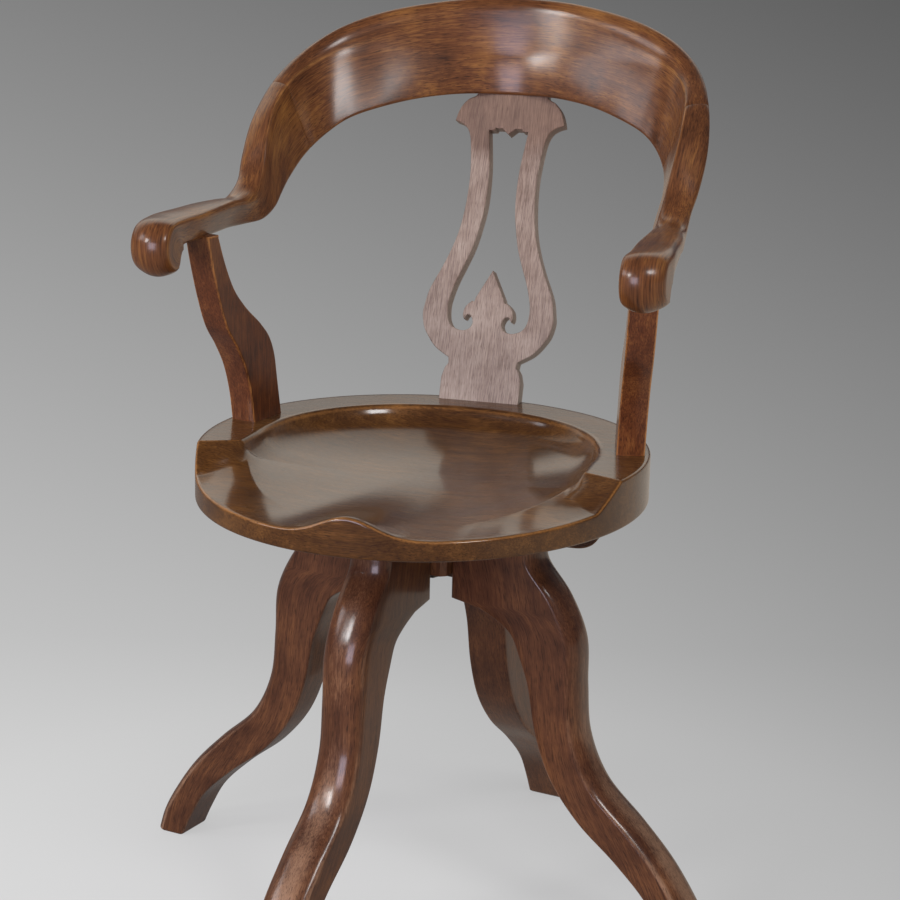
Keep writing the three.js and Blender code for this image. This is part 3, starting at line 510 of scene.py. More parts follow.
@dataclass(frozen=True)
class PlainMetal:
    """Forged iron and cut steel: a dull oxide skin with lighter rubbed spots and fine pits."""

    name: str
    dark: str
    light: str
    roughness: float
    rubbed_gloss: float = 0.1
    skin_roughness: float = 0.12
    pit_mm: float = 1.6
    pit_depth_mm: float = 0.15
    patch_mm: float = 14.0
    bump: float = 0.3

    def make(self) -> bpy.types.Material:
        """Builds the material.

        Returns:
            The material, which reads the object's own coordinates.
        """
        material, add = new_material(self.name)
        place = add("TexCoord").outputs["Object"]
        patches, pits = (
            add("TexNoise", {"Vector": place, "Scale": 1 / (size * MM), "Detail": detail})
            for size, detail in ((self.patch_mm, 4.0), (self.pit_mm, 2.0)))
        rubbed = add("MapRange", {"Value": patches, "From Min": 0.42, "From Max": 0.68},
                     interpolation_type="SMOOTHSTEP")
        base = add("Mix", {0: rubbed, 6: colour(self.dark), 7: colour(self.light)}, data_type="RGBA")
        gloss = add("MapRange", {
            "Value": patches, "From Min": 0.3, "From Max": 0.7,
            "To Min": self.roughness + self.skin_roughness, "To Max": self.roughness - self.rubbed_gloss})
        bump = add("Bump", {"Strength": self.bump, "Distance": self.pit_depth_mm * MM, "Height": pits})
        shader = add("BsdfPrincipled", {
            "Base Color": base.outputs[2], "Metallic": 1.0, "Roughness": gloss, "Normal": bump})
        add("OutputMaterial", {"Surface": shader})
        return material


# Half of the bow in stations, from the middle of the crest rail to the front of the arm: the arris's
# place out, back and up, the foot's place up, the top's width and lift, and the face's lean.
BOW_STATIONS = np.array([
    [0, 1, 1, 1, 0.3, 1, 0.15],
    [0.23, 0.987, 0.988, 1, 0.3, 1, 0.24],
    [0.45, 0.956, 0.952, 0.96, 0.31, 0.97, 0.38],
    [0.645, 0.914, 0.904, 0.885, 0.31, 0.9, 0.52],
    [0.815, 0.867, 0.838, 0.785, 0.31, 0.73, 0.58],
    [0.915, 0.812, 0.766, 0.67, 0.36, 0.45, 0.52],
    [0.977, 0.732, 0.671, 0.5, 0.49, 0.02, 0.42],
    [1, 0.644, 0.533, 0.31, 0.58, -0.55, 0.38],
    [0.998, 0.582, 0.347, 0.19, 0.58, -0.7, 0.37],
    [0.983, 0.542, 0.165, 0.1, 0.59, -0.38, 0.3],
    [0.97, 0.493, 0.04, 0.02, 0.64, -0.03, 0.14],
    [0.968, 0.44, 0, 0, 0.68, -0.02, -0.1],
    [0.976, 0.374, 0, 0, 0.73, 0.03, -0.2],
    [0.981, 0.3, 0, 0, 0.82, 0.07, -0.19],
    [0.99, 0.2, 0, 0, 0.87, 0.08, -0.14],
    [1.009, 0.095, 0, 0, 0.86, 0.08, -0.03],
])
# The foot of the scroll's face, in shares of its radius back and up from its pivot.
SCROLL_FOOT = np.array([
    [0.8, -0.28], [0.7, -0.32], [0.62, -0.4], [0.56, -0.48],
    [0.51, -0.58], [0.47, -0.67], [0.42, -0.76], [0.3, -0.85],
])
# The rounding of the arris at each station and then through the scroll, in millimetres.
ARRIS_ROUNDS = np.array([30, 28, 20, 11, 6, 4, 3.5, 3.5, 4, 5, 6, 7, 7, 7, 6, 5] + [4.5] * 8)
# How worn the edges are at each station.
EDGE_WEAR = np.array([0, 0, 0.1, 0.4, 0.7, 0.8, 0.8, 0.7, 0.5, 0.4, 0.4, 0.5, 0.5] + [0.6] * 11)


@dataclass
class Bow:
    """The crest rail and the two arms, one sweep of sections that is cut at the two joints."""

    oak: bpy.types.Material
    half_span: float = 217
    rear: float = 291
    front: float = 161
    arm_top: float = 718
    arm_thickness: float = 26
    arm_width: float = 46
    arm_crown: float = 2.5
    arris_height: float = 885
    crest_depth: float = 73
    crest_roll: float = 30
    crest_back: float = 10
    crest_back_drop: float = 22.5
    scroll_radius: float = 23
    scroll_turn: float = 185
    scroll_crown: float = 7.5
    joint_station: int = 6
    joint_turn: float = 32
    joint_tilt: float = 19
    joint_gap: float = 0.3
    joint_ease: float = 0.5
    joint_ease_share: float = 0.0018
    face_bulge: float = 1.0
    edge: float = 3
    outer_round: float = 9
    foot_round: float = 4
    tuck_share: float = 0.8
    steps: int = 10
    face_samples: int = 16
    arris_most: float = 0.5
    outer_round_most: float = 0.35

    def corners(self) -> tuple[Array, Array]:
        """Works out the corners of the right half's sections.

        A section runs from the arris over the top to the back, down it to the outer foot, and along the
        underside to the inner foot. In the scroll the top turns about a pivot.

        Returns:
            Nine rows for each station (arris, top bend, outer top, back bend, back top, outer foot,
            inner foot, outward and upward directions), and each station's share of the crest's roll.
        """
        side, along, rise, foot, width, lift, lean = BOW_STATIONS.T[:, :, None]
        arris = join(
            side * self.half_span,
            along * (self.front + self.rear) - self.front,
            self.arm_top + rise * (self.arris_height - self.arm_top), axis=1)
        run = np.empty_like(arris)
        run[1:-1] = arris[2:] - arris[:-2]
        run[-1] = arris[-1] - arris[-2]
        run[0] = (1, 0, 0)
        run[:, 2] = 0
        run = unit(run)
        out = np.stack([-run[:, 1], run[:, 0], np.zeros(len(run))], axis=-1)
        roll = np.maximum(lift, 0)
        back_out = self.crest_back * roll + self.edge
        top = arris + out * width * self.arm_width + UP * lift * self.crest_roll
        foot_height = self.arm_top - self.arm_thickness
        crest_foot = self.arris_height - self.crest_depth
        inner = arris - out * lean * self.arm_width
        inner[:, 2] = (foot_height + foot * (crest_foot - foot_height))[:, 0]
        tuck = np.maximum(-lean, 0) * self.tuck_share
        outer = arris + out * ((width - np.maximum(lean, 0) - tuck) * self.arm_width + back_out)
        outer[:, 2] = inner[:, 2]
        back = top + out * back_out - UP * (self.crest_back_drop * roll + self.edge)
        up = np.broadcast_to(UP, arris.shape)
        crown = np.full_like(roll, self.arm_crown)

        share = (np.arange(len(SCROLL_FOOT)) + 1)[:, None] / len(SCROLL_FOOT)
        turn = share * np.radians(self.scroll_turn)
        forward = np.array([0.0, -1.0, 0.0])
        pivot = np.array([arris[-1, 0], self.scroll_radius - self.front, self.arm_top - self.scroll_radius])
        away = UP * np.cos(turn) + forward * np.sin(turn)
        s_arris = pivot + away * self.scroll_radius
        back_share, rise_share = SCROLL_FOOT.T[:, :, None]
        s_inner = pivot - forward * back_share * self.scroll_radius + UP * rise_share * self.scroll_radius
        across = out[-1] * np.linalg.norm(arris[-1] - top[-1])
        s_top = s_arris + across
        s_back = s_top + out[-1] * self.edge - away * self.edge
        s_outer = s_inner + across + out[-1] * self.edge
        # The crown has its full height after a third of the scroll.
        s_crown = self.arm_crown + (self.scroll_crown - self.arm_crown) * np.minimum(3 * share, 1)

        arris, top, back = (join(*p) for p in ((arris, s_arris), (top, s_top), (back, s_back)))
        outer, inner = join(outer, s_outer), join(inner, s_inner)
        up = join(up, away)
        out = join(out, np.broadcast_to(out[-1], s_arris.shape))
        crown = join(crown, s_crown)
        roll = join(roll, np.zeros_like(s_crown))
        # A curve's control point stands twice as high as the crown that it gives.
        flat_bend = (arris + top) / 2 + up * 2 * crown
        corner = arris + up * dot(top - arris, up)
        top_bend = flat_bend + (corner - flat_bend) * roll
        back_bend = top + out * dot(back - top, out)
        rows = (arris, top_bend, top, back_bend, back, outer, inner, arris + out, arris + up)
        return np.stack(rows, axis=1), roll[:, 0]

    def rings(self) -> tuple[Array, Array, Array]:
        """Sweeps the full bow, from the left scroll round the crest rail to the right scroll.

        Returns:
            The rings' points, their places in the timber (along the bow, out and up), and their wear.
        """
        rows, roll = self.corners()
        full = join(rows[:0:-1] * MIRROR, rows)
        dense = through(full, self.steps)
        stations = np.arange(len(full))
        fine = np.linspace(0, len(full) - 1, len(dense))
        roll, radius, worn_here = (
            np.interp(fine, stations, join(half[:0:-1], half))[:, None]
            for half in (roll, ARRIS_ROUNDS, EDGE_WEAR))
        arris, top_bend, top, back_bend, back, outer, inner, out, up = np.moveaxis(dense, 1, 0)
        out, up = unit(out - arris), unit(up - arris)
        face = unit(arris - inner)
        side = unit(back - outer)
        under = unit(outer - inner)
        blunt = self.outer_round * (1 - roll)
        low, high = (
            np.clip(size / (2 * np.linalg.norm(reach, axis=1, keepdims=True)), 0, most)[:, 0]
            for size, reach, most in ((radius, top_bend - arris, self.arris_most),
                                      (blunt, top - top_bend, self.outer_round_most)))
        at_low, at_high = (bend(arris, top_bend, top, 1, t, t)[:, 0] for t in (low, 1 - high))
        shoulder = back - side * np.maximum(blunt - self.edge, 0)
        foot = self.foot_round
        across = line(inner + face * foot, arris - face * radius, self.face_samples)
        t = np.linspace(0, 1, self.face_samples)[:, None]
        bulge = 4 * self.face_bulge * t * (1 - t)
        across = across - out[:, None] * (bulge * roll[:, None])
        # Strips round the section from the arris outward, each with its samples and its wear.
        parts = [
            (bend(arris - face * radius, arris, at_low, 9), (0.0, 1.0, 0.0)),
            (bend(arris, top_bend, top, 18, low, 1 - high), (0.0, 0.0)),
            (bend(at_high, back_bend, shoulder, 11), (0.0, 0.45, 0.0)),
            (line(shoulder, outer + side * foot, 9), (0.0, 0.0)),
            (bend(outer + side * foot, outer, outer - under * foot, 7), (0.0, 0.7, 0.0)),
            (line(outer - under * foot, inner + under * foot, 6), (0.0, 0.0)),
            (bend(inner + under * foot, inner, inner + face * foot, 7), (0.0, 0.8, 0.0)),
            (across, (0.0, 0.0)),
        ]
        points = join(*(part[:, :-1] for part, _ in parts), axis=1)
        wear = join(*(
            np.interp(np.linspace(0, 1, part.shape[1])[:-1], np.linspace(0, 1, len(worn)), worn)
            for part, worn in parts))
        middle = (arris + inner) / 2
        length = join([0], np.cumsum(np.linalg.norm(np.diff(middle, axis=0), axis=1)))
        off = points - arris[:, None]
        grain = join(
            level_rows(length, points.shape[1]), dot(off, out[:, None]), dot(off, up[:, None]), axis=-1)
        return points, grain, wear * worn_here

    def cut(self, field: Array, starts: Array, ends: Array, count: int) -> Array:
        """Samples each column of the sweep again between its own two cuts.

        Args:
            field: values with the sweep's rows in the first axis and its columns in the second.
            starts: where each column starts, as a row number with a fraction.
            ends: where it ends.
            count: rows of the result.

        Returns:
            The values on the new rows.
        """
        share = np.linspace(0, 1, count)
        share[1], share[-2] = self.joint_ease_share, 1 - self.joint_ease_share
        t = starts + (ends - starts) * share[:, None]
        low = np.clip(np.floor(t).astype(int), 0, len(field) - 2)
        share = t - low
        columns = np.arange(field.shape[1])[None]
        if field.ndim == 3:
            share = share[..., None]
        return field[low, columns] * (1 - share) + field[low + 1, columns] * share

    def joint_rows(self, points: Array, gap: float) -> Array:
        """Finds, on the right half, the row at which each column meets the joint's plane.

        Args:
            points: the sweep's points.
            gap: how far past the plane, towards the arm.

        Returns:
            Row numbers with fractions.
        """
        rows, _ = self.corners()
        arris, top, outer, inner = rows[self.joint_station][[0, 2, 5, 6]]
        place = (arris + top + outer + inner) / 4
        turn, tilt = np.radians([self.joint_turn, self.joint_tilt])
        axis = np.array([np.sin(turn) * np.cos(tilt), -np.cos(turn) * np.cos(tilt), -np.sin(tilt)])
        half = len(points) // 2
        past = (points[half:] - place) @ axis - gap
        first = np.argmax(past > 0, axis=0)
        columns = np.arange(points.shape[1])
        before, after = past[first - 1, columns], past[first, columns]
        return half + first - 1 + before / (before - after)

    def build(self) -> None:
        """Cuts the sweep into crest rail and arms, eases the joints' edges, and makes the pieces."""
        points, grain, wear = self.rings()
        last = len(points) - 1
        crest_end = self.joint_rows(points, -self.joint_gap / 2)
        arm_start = self.joint_rows(points, self.joint_gap / 2)
        pieces = {
            "crest_rail": (last - crest_end, crest_end, 170),
            "arm_right": (arm_start, np.full_like(arm_start, last), 190),
            "arm_left": (last - arm_start, np.zeros_like(arm_start), 190),
        }
        for name, (start, end, count) in pieces.items():
            cuts = [self.cut(field, start, end, count) for field in (points, grain, wear)]
            for row in (0, -1) if name == "crest_rail" else (0,):
                inward = cuts[0][row].mean(axis=0) - cuts[0][row]
                cuts[0][row] += unit(inward) * self.joint_ease
            make_piece(name + "_wood", tube(*cuts), "seat", [name], self.oak)


@dataclass
class Seat:
    """The saddled board: a raised rim round back and sides, two ramps, and a dished front."""

    oak: bpy.types.Material
    rim_height: float = 493
    thickness: float = 49
    radius: float = 230
    forward: float = 36
    oval: float = 5.5
    egg: float = 4
    rim_width: float = 53
    wall_drop: float = 17
    wall_run: float = 8
    shoulder: float = 66.3
    ramp: float = 10.5
    ramp_ease: float = 0.15
    scoop: float = 23
    narrow_from: float = 80
    narrow: float = 7
    dish_depth: float = 35
    dish_power: float = 2.4
    front_drop: float = 30
    front_rise: float = 8
    front_band: float = 7
    pommel: float = 20
    pommel_spread: float = 8
    pommel_power: float = 3.8
    edge: float = 3.6
    low_edge: float = 3
    cove: float = 12
    blend: float = 50
    ramp_softness: float = 18
    ramp_softness_past: float = 12
    side_band: float = 6
    dish_span: tuple[float, float] = (0.04, 0.88)
    dish_samples: int = 26
    arris_below: float = 1.2
    arris_beside: float = 2.6
    ramp_slack: float = 0.3
    ramp_edge_wear: float = 1.6
    ramp_end_wear: float = 0.6
    ramp_end_span: float = 0.4
    arris_reach: float = 5
    rim_reach: float = 6
    side_clear: float = 12
    spoke_step: float = 1.0
    ramp_spoke_step: float = 0.4

    def open_height(self, radius: Array, angle: Array, edge: Array) -> Array:
        """Height of the saddle without its rim: a bowl, two thigh hollows, and the pommel between them.

        The bowl rises with a power of the share of the way out. The pommel is a bump of even width that
        dies away towards the middle.

        Args:
            radius: distances from the swivel axis, spokes in the first axis.
            angle: each spoke's angle from the front.
            edge: each spoke's outer radius.

        Returns:
            Heights in the layout of radius.
        """
        floor = self.rim_height - self.dish_depth
        turn = np.minimum(np.abs(np.degrees(angle)), self.shoulder)[:, None]
        low = self.rim_height - self.front_drop + self.front_rise * (turn / self.shoulder) ** 2
        share = np.minimum(radius / (edge[:, None] - self.front_band), 1)
        across = radius * np.sin(angle)[:, None]
        width = (self.radius + self.forward) * np.sin(np.radians(self.pommel_spread))
        ahead = np.where(np.cos(angle) > 0, 1.0, 0.0)[:, None]
        bump = self.pommel * np.exp(-((across / width) ** 2)) * share**self.pommel_power * ahead
        return floor + (low - floor) * share**self.dish_power + bump

    def profiles(self, angle: Array, edge: Array) -> tuple[Array, Array]:
        """Works out each spoke's profile, from the middle over dish, wall, rim and side to the underside.

        Behind the shoulders the rim's section is a dish, a cove up to the rim's arris, the flat rim and
        the rounded side. On the ramps it sinks into the open saddle, sooner near the dish.

        Args:
            angle: each spoke's angle from the front.
            edge: each spoke's outer radius.

        Returns:
            Radius and height of each profile's points, and their wear.
        """
        turn = np.abs(np.degrees(angle))
        share = np.clip((self.narrow_from - turn) / (self.narrow_from - self.shoulder), 0, 1)
        rim_in = edge - self.rim_width + self.narrow * share**2
        inner = rim_in - self.wall_run
        floor = self.rim_height - self.dish_depth
        foot_height = self.rim_height - self.wall_drop
        rim_height = np.full_like(edge, self.rim_height)

        def pair(radius: Array, height: Array) -> Array:
            """Points of the profiles' plane, one row for each spoke."""
            return np.stack(np.broadcast_arrays(radius, height), axis=-1)

        shares = np.linspace(*self.dish_span, self.dish_samples)
        dish = pair(inner[:, None] * shares, floor + (foot_height - floor) * shares**self.dish_power)
        foot, rim = pair(inner, np.full_like(edge, foot_height)), pair(rim_in, rim_height)
        wall = unit(rim - foot)
        slope = self.dish_power * (foot_height - floor) * shares[-1] ** (self.dish_power - 1) / inner
        ahead = dish[:, -1, 1] + slope * (inner - dish[:, -1, 0]) - foot_height
        turn_up = foot + (rim - foot) * (ahead / (self.wall_drop - slope * self.wall_run))[:, None]
        flat_start = rim + [self.arris_beside, 0]
        flat_end, corner = pair(edge - self.edge, rim_height), pair(edge, rim_height)
        under = self.rim_height - self.thickness
        low_corner = pair(edge, np.full_like(edge, under))
        low_side, low_flat = low_corner + [0, self.low_edge], low_corner - [self.low_edge, 0]
        # Strips outward from the middle, each with its samples and its wear.
        tops = [
            (dish[:, :-1], 0.0),
            (bend(dish[:, -1], turn_up, foot + wall * self.cove, 14)[:, :-1], 0.0),
            (bend(foot + wall * self.cove, rim - wall * self.arris_below, flat_start, 9)[:, :-1], 0.7),
            (line(flat_start, flat_end, 14)[:, :-1], 0.0),
            (bend(flat_end, corner, corner - [0, self.edge], 8), 0.6),
        ]
        upper = join(*(part for part, _ in tops), axis=1)
        radius, height = upper[..., 0], upper[..., 1]
        flat = np.minimum(radius, (edge - self.edge)[:, None])
        within = np.minimum(flat, inner[:, None])
        drop = np.where(radius > flat, rim_height[:, None] - height, 0)
        section = floor + (foot_height - floor) * (within / inner[:, None]) ** self.dish_power
        wall_share = np.minimum((height + drop - section) / (rim_height[:, None] - section), 1)
        nearness = smooth((turn - self.shoulder + self.blend) / self.blend)[:, None]
        fade = 1 - np.clip((flat - inner[:, None]) / (edge - self.front_band - inner)[:, None], 0, 1)
        base = self.open_height(flat, angle, edge)
        base = base + nearness * (section - self.open_height(within, angle, edge)) * fade
        outer = np.clip((turn - self.shoulder) / self.ramp + 1, 0, 1)[:, None]
        outer = outer**2 * (1 + self.ramp_ease) / (outer + self.ramp_ease)
        scoop = np.clip((turn - self.shoulder) / self.scoop + 1, 0, 1)[:, None] ** 3
        outside = (edge - self.side_band)[:, None]
        inward = smooth((outside - flat) / (outside - rim_in[:, None]))
        rimmed = outer + (scoop - outer) * inward
        soft_start = inner[:, None] - self.ramp_softness
        soft = smooth((flat - soft_start) / (rim_in[:, None] + self.ramp_softness_past - soft_start))
        wall_share = soft + (wall_share - soft) * outer**3
        height = base + (rim_height[:, None] - base) * rimmed * wall_share - drop
        upper = np.stack([radius, height], axis=-1)
        side = upper[:, -1]
        lows = [(line(side, low_side, 9)[:, 1:-1], 0.0), (bend(low_side, low_corner, low_flat, 6), 0.4)]
        profile = join(upper, *(part for part, _ in lows), axis=1)
        wear = join(*(worn * arch(part.shape[1], 3) for part, worn in tops + lows))
        # Past the shoulders the arris is gone and the edge is more worn, and each ramp's end is worn.
        ramped = (turn <= self.shoulder - self.ramp_slack)[:, None]
        radius, height = profile[..., 0], profile[..., 1]
        at_arris = np.abs(radius - rim_in[:, None]) < self.arris_reach
        wear = np.where(at_arris & ramped, 0, wear)
        at_edge = (radius > (edge - self.edge)[:, None]) & (height > under + self.side_clear)
        wear = np.where(at_edge & ramped, wear * self.ramp_edge_wear, wear)
        end = np.exp(-(((turn - self.shoulder) / self.ramp_end_span) ** 2))[:, None]
        on_rim = (radius > rim_in[:, None]) & (height > self.rim_height - self.rim_reach)
        return profile, np.maximum(wear, np.where(on_rim, self.ramp_end_wear * end, 0))

    def build(self) -> None:
        """Turns the profiles round the swivel axis, closer together at the ramps, and builds the seat."""
        even = np.arange(-180.0, 180.0, self.spoke_step)
        near = self.shoulder + np.arange(-self.scoop - 1, 1.6, self.ramp_spoke_step)
        degrees = np.unique(np.round(join(even, near, -near), 3))
        angle = np.radians(degrees)
        edge = (self.radius + self.forward * np.cos(angle) + self.oval * np.cos(2 * angle)
                + self.egg * np.cos(3 * angle))
        profile, wear = self.profiles(angle, edge)
        radius, height = profile[..., 0], profile[..., 1]
        across, back = np.sin(angle)[:, None], -np.cos(angle)[:, None]
        points = np.stack([radius * across, radius * back, height], axis=-1).swapaxes(0, 1)
        skin = tube(points, points, wear.swapaxes(0, 1))
        make_piece("seat_wood", skin, "seat", ["seat"], self.oak)


# The outer and inner edges of a leg's side view, in shares of its reach and its height.
LEG_OUTER = np.array([
    [1, 0], [0.976, 0.062], [0.926, 0.137], [0.851, 0.224], [0.749, 0.311], [0.621, 0.41], [0.557, 0.522],
    [0.541, 0.647], [0.532, 0.771], [0.476, 0.871], [0.396, 0.955], [0.384, 1],
])
LEG_INNER = np.array([
    [0.888, 0], [0.853, 0.062], [0.8, 0.137], [0.692, 0.224], [0.562, 0.311], [0.466, 0.41], [0.411, 0.522],
    [0.38, 0.647], [0.35, 0.715], [0.318, 0.771], [0.27, 0.8], [0.205, 0.825],
])
# From one leg's place in the timber to the next one's, so that their grain differs.
LEG_TIMBER_STEP = np.array([700.0, 90.0, 40.0])


@dataclass
class Legs:
    """Four legs alike: an S in side view, with flat cheeks, a flat inner face and a crowned outer face."""

    oak: bpy.types.Material
    yaw: float = -12.7
    top: float = 401.5
    reach: float = 333
    thickness: float = 46.6
    crown: float = 9
    head_inner: float = 38.3
    stem_share: float = 0.825
    head_share: float = 0.838
    edge: float = 3
    stem_rows: int = 110
    head_rows: int = 24
    crown_samples: int = 27
    # How much paler the edges and crown are drawn at some heights: real scuffing near the feet, with a
    # painted reflection of the pale floor on the lower legs.
    wear_and_sheen_heights: tuple[float, ...] = (0, 90, 240)
    wear_and_sheen_gains: tuple[float, ...] = (1.5, 1.4, 0.5)
    grain_follow: float = 0.6

    def skin(self) -> Skin:
        """Builds a leg that points along +x: level rings between the two edges of its side view.

        A ring runs from the flat inner face over one cheek to the crowned outer face and back over the
        other cheek. Its corners draw in by a quarter circle at the foot's and the head's ends.

        Returns:
            The leg's skin, with its grain along it and wear on edges and crown; the paler colour on the
            crown and towards the feet is partly painted sheen from the front lamp and the pale floor.
        """
        outer_curve = through(LEG_OUTER * [self.reach, self.top], 16)
        inner_curve = through(LEG_INNER * [self.reach, self.top], 16)
        round_rows = np.array([0.4, 1.2, 2.2, self.edge])
        stem = np.linspace(0, self.stem_share, self.stem_rows) * self.top
        stem = np.unique(join(stem, round_rows))
        head = np.linspace(self.head_share, 1, self.head_rows) * self.top
        head = np.unique(join(head, self.top - round_rows))
        height = join(stem, head)
        inner = join(
            np.interp(stem, inner_curve[:, 1], inner_curve[:, 0]), np.full(len(head), self.head_inner))
        outer = np.interp(height, outer_curve[:, 1], outer_curve[:, 0])
        near = np.minimum(np.minimum(height, self.top - height), self.edge)
        inset = self.edge - np.sqrt(self.edge**2 - (self.edge - near) ** 2)
        half = self.thickness / 2 - inset
        inner, outer = inner + inset, outer - inset

        def at(radius: Array, side: Array) -> Array:
            """Points of the rings' plan, one row for each ring."""
            return np.stack([radius, side], axis=-1)

        corner = at(outer - self.crown, half)
        shares = np.linspace(1, -1, self.crown_samples)
        crown = np.stack([
            outer[:, None] - self.crown * np.abs(shares) ** 3, half[:, None] * shares], axis=-1)
        flip = np.array([1.0, -1.0])
        inner_corner = at(inner, half)
        e = self.edge
        cheek_low, cheek_high = inner_corner + [e, 0], corner - [e, 0]
        back = inner_corner - [0, e]
        crown_start = crown[:, 2]
        # Strips round the ring, each with its samples and its wear.
        parts = [
            (line(back * flip, back, 4)[:, :-1], 0.0),
            (bend(back, inner_corner, cheek_low, 6)[:, :-1], 0.4),
            (line(cheek_low, cheek_high, 7)[:, :-1], 0.0),
            (bend(cheek_high, corner, crown_start, 7)[:, :-1], 0.55),
            # The crown's wear is partly real rubbing and partly painted sheen from the front lamp and the
            # pale floor.
            (crown[:, 2:-2][:, :-1], 0.65),
            (bend(crown[:, -3], corner * flip, cheek_high * flip, 7)[:, :-1], 0.55),
            (line(cheek_high * flip, cheek_low * flip, 7)[:, :-1], 0.0),
            (bend(cheek_low * flip, inner_corner * flip, back * flip, 6)[:, :-1], 0.4),
        ]
        plan = join(*(part for part, _ in parts), axis=1)
        wear = join(*(worn * arch(part.shape[1]) for part, worn in parts))
        # Paler towards the feet: scuffing, and a painted reflection of the pale floor.
        wear = wear * np.interp(height, self.wear_and_sheen_heights, self.wear_and_sheen_gains)[:, None]
        points = join(plan, level_rows(height, plan.shape[1]), axis=-1)
        middle = ((inner + outer) / 2)[:, None]
        run = join([0], np.cumsum(np.hypot(np.diff(height), np.diff(middle[:, 0]))))
        along = np.broadcast_to(run[:, None], plan.shape[:2])
        grain = np.stack([along, plan[..., 1], plan[..., 0] - middle * self.grain_follow], axis=-1)
        return tube(points, grain, wear)

    def build(self) -> None:
        """Stands the four legs round the swivel axis, each with its own place in the timber."""
        leg = self.skin()
        for number, name in enumerate(("right", "back", "left", "front")):
            turn = np.radians(self.yaw + 90 * number)
            c, s = np.cos(turn), np.sin(turn)
            turned = leg.moved(np.array([[c, -s, 0], [s, c, 0], [0, 0, 1]]))
            turned.grain = leg.grain + LEG_TIMBER_STEP * (number + 1)
            make_piece(f"leg_{name}_wood", turned, "base", [f"leg_{name}"], self.oak)


# Half of the splat's outline and of its opening, in shares of half its width and of its length.
SPLAT_FOOT = np.array([[0.605, -0.03], [0.605, 0.07], [0.57, 0.1], [0.52, 0.117], [0.53, 0.135]])
SPLAT_LOBE = np.array([
    [0.59, 0.142], [0.75, 0.165], [0.87, 0.196], [0.965, 0.233], [1, 0.274], [0.985, 0.3], [0.95, 0.34],
    [0.875, 0.382], [0.78, 0.426], [0.65, 0.5], [0.58, 0.556], [0.54, 0.613], [0.517, 0.68],
    [0.517, 0.742], [0.542, 0.802], [0.575, 0.852], [0.625, 0.88], [0.716, 0.898], [0.835, 0.908],
])
SPLAT_CAP = np.array([
    [0.835, 0.908], [0.81, 0.93], [0.76, 0.956], [0.675, 0.979], [0.54, 0.998], [0.53, 1.01],
])
SPLAT_FRINGE = np.array([[0, 0.87], [0.1, 0.889], [0.2, 0.889], [0.215, 0.882], [0.3, 0.881]])
SPLAT_OPENING = np.array([
    [0.275, 0.84], [0.232, 0.76], [0.22, 0.68], [0.232, 0.624], [0.272, 0.567], [0.34, 0.5], [0.46, 0.427],
    [0.53, 0.388], [0.59, 0.344], [0.622, 0.305], [0.612, 0.27], [0.56, 0.243], [0.445, 0.228],
    [0.34, 0.226], [0.25, 0.237], [0.222, 0.254], [0.25, 0.271], [0.31, 0.277], [0.36, 0.262],
])
SPLAT_LEAF = np.array([[0.36, 0.262], [0.382, 0.275], [0.372, 0.294], [0.325, 0.311], [0.262, 0.323]])
SPLAT_SPADE = np.array([[0.235, 0.32], [0.212, 0.336], [0, 0.425]])
# Painted light on the splat at some shares of its length: paler towards the foot, darkest at the cap.
SPLAT_PAINTED_LIGHT = ((0.0, 0.25, 0.45, 0.8, 0.9), (0.66, 0.6, 0.55, 0.5, 0.05))


@dataclass
class Splat:
    """The pierced lyre board that leans back from the seat's rear rim to the crest rail."""

    oak: bpy.types.Material
    bulge: float = 147
    thickness: float = 18
    foot_y: float = 174.3
    head_y: float = 287.0
    foot_z: float = 493
    head_z: float = 812
    rounding: float = 1.3

    def length(self) -> float:
        """Measures the board from foot to head."""
        return np.hypot(self.head_y - self.foot_y, self.head_z - self.foot_z)

    def loop(self, parts: Sequence[Array]) -> Array:
        """Mirrors half an outline and closes it.

        Args:
            parts: its curves, in shares of half the width and of the length.

        Returns:
            The outline in millimetres, counterclockwise, without points that stand on each other.
        """
        half = join(*parts) * [self.bulge / 2, self.length()]
        ring = join(half, (half * [-1, 1])[::-1])
        apart = np.linalg.norm(ring - np.roll(ring, -1, axis=0), axis=1) > 0.05
        ring = ring[apart]
        x, y = ring.T
        area = np.sum(x * np.roll(y, -1) - y * np.roll(x, -1))
        return ring if area > 0 else ring[::-1]

    def build(self) -> None:
        """Builds the board with its hole and leans it."""
        outline = self.loop([SPLAT_FOOT, through(SPLAT_LOBE, 5), through(SPLAT_CAP, 6)])
        opening, leaf = through(SPLAT_OPENING, 5), through(SPLAT_LEAF, 5)[1:]
        hole = self.loop([SPLAT_FRINGE, opening, leaf, SPLAT_SPADE])
        lean = np.arctan2(self.head_y - self.foot_y, self.head_z - self.foot_z)
        frame = np.array([
            [1, 0, 0, 0],
            [0, np.sin(lean), -np.cos(lean), self.foot_y],
            [0, np.cos(lean), np.sin(lean), self.foot_z]])
        skin = board([outline, hole[::-1]], self.thickness, self.rounding, frame)
        # The wear here is painted light only: the board is drawn paler towards its foot and dark at the
        # cap.
        skin.wear = np.interp(skin.grain[:, 0] / self.length(), *SPLAT_PAINTED_LIGHT)
        make_piece("back_splat_wood", skin, "seat", ["back_splat"], self.oak)


# The front and rear edges of an arm support, in shares of its depth and its height.
SUPPORT_FRONT = np.array([
    [0, 0], [-0.08, 0.14], [-0.25, 0.286], [-0.53, 0.412], [-0.87, 0.533], [-1.11, 0.688], [-1.33, 0.884],
    [-1.43, 1],
])
SUPPORT_REAR = np.array([
    [-1.06, 1], [-0.86, 0.864], [-0.59, 0.729], [-0.2, 0.618], [0.35, 0.503], [0.65, 0.417], [0.8, 0.322],
    [0.88, 0.196], [1, 0],
])


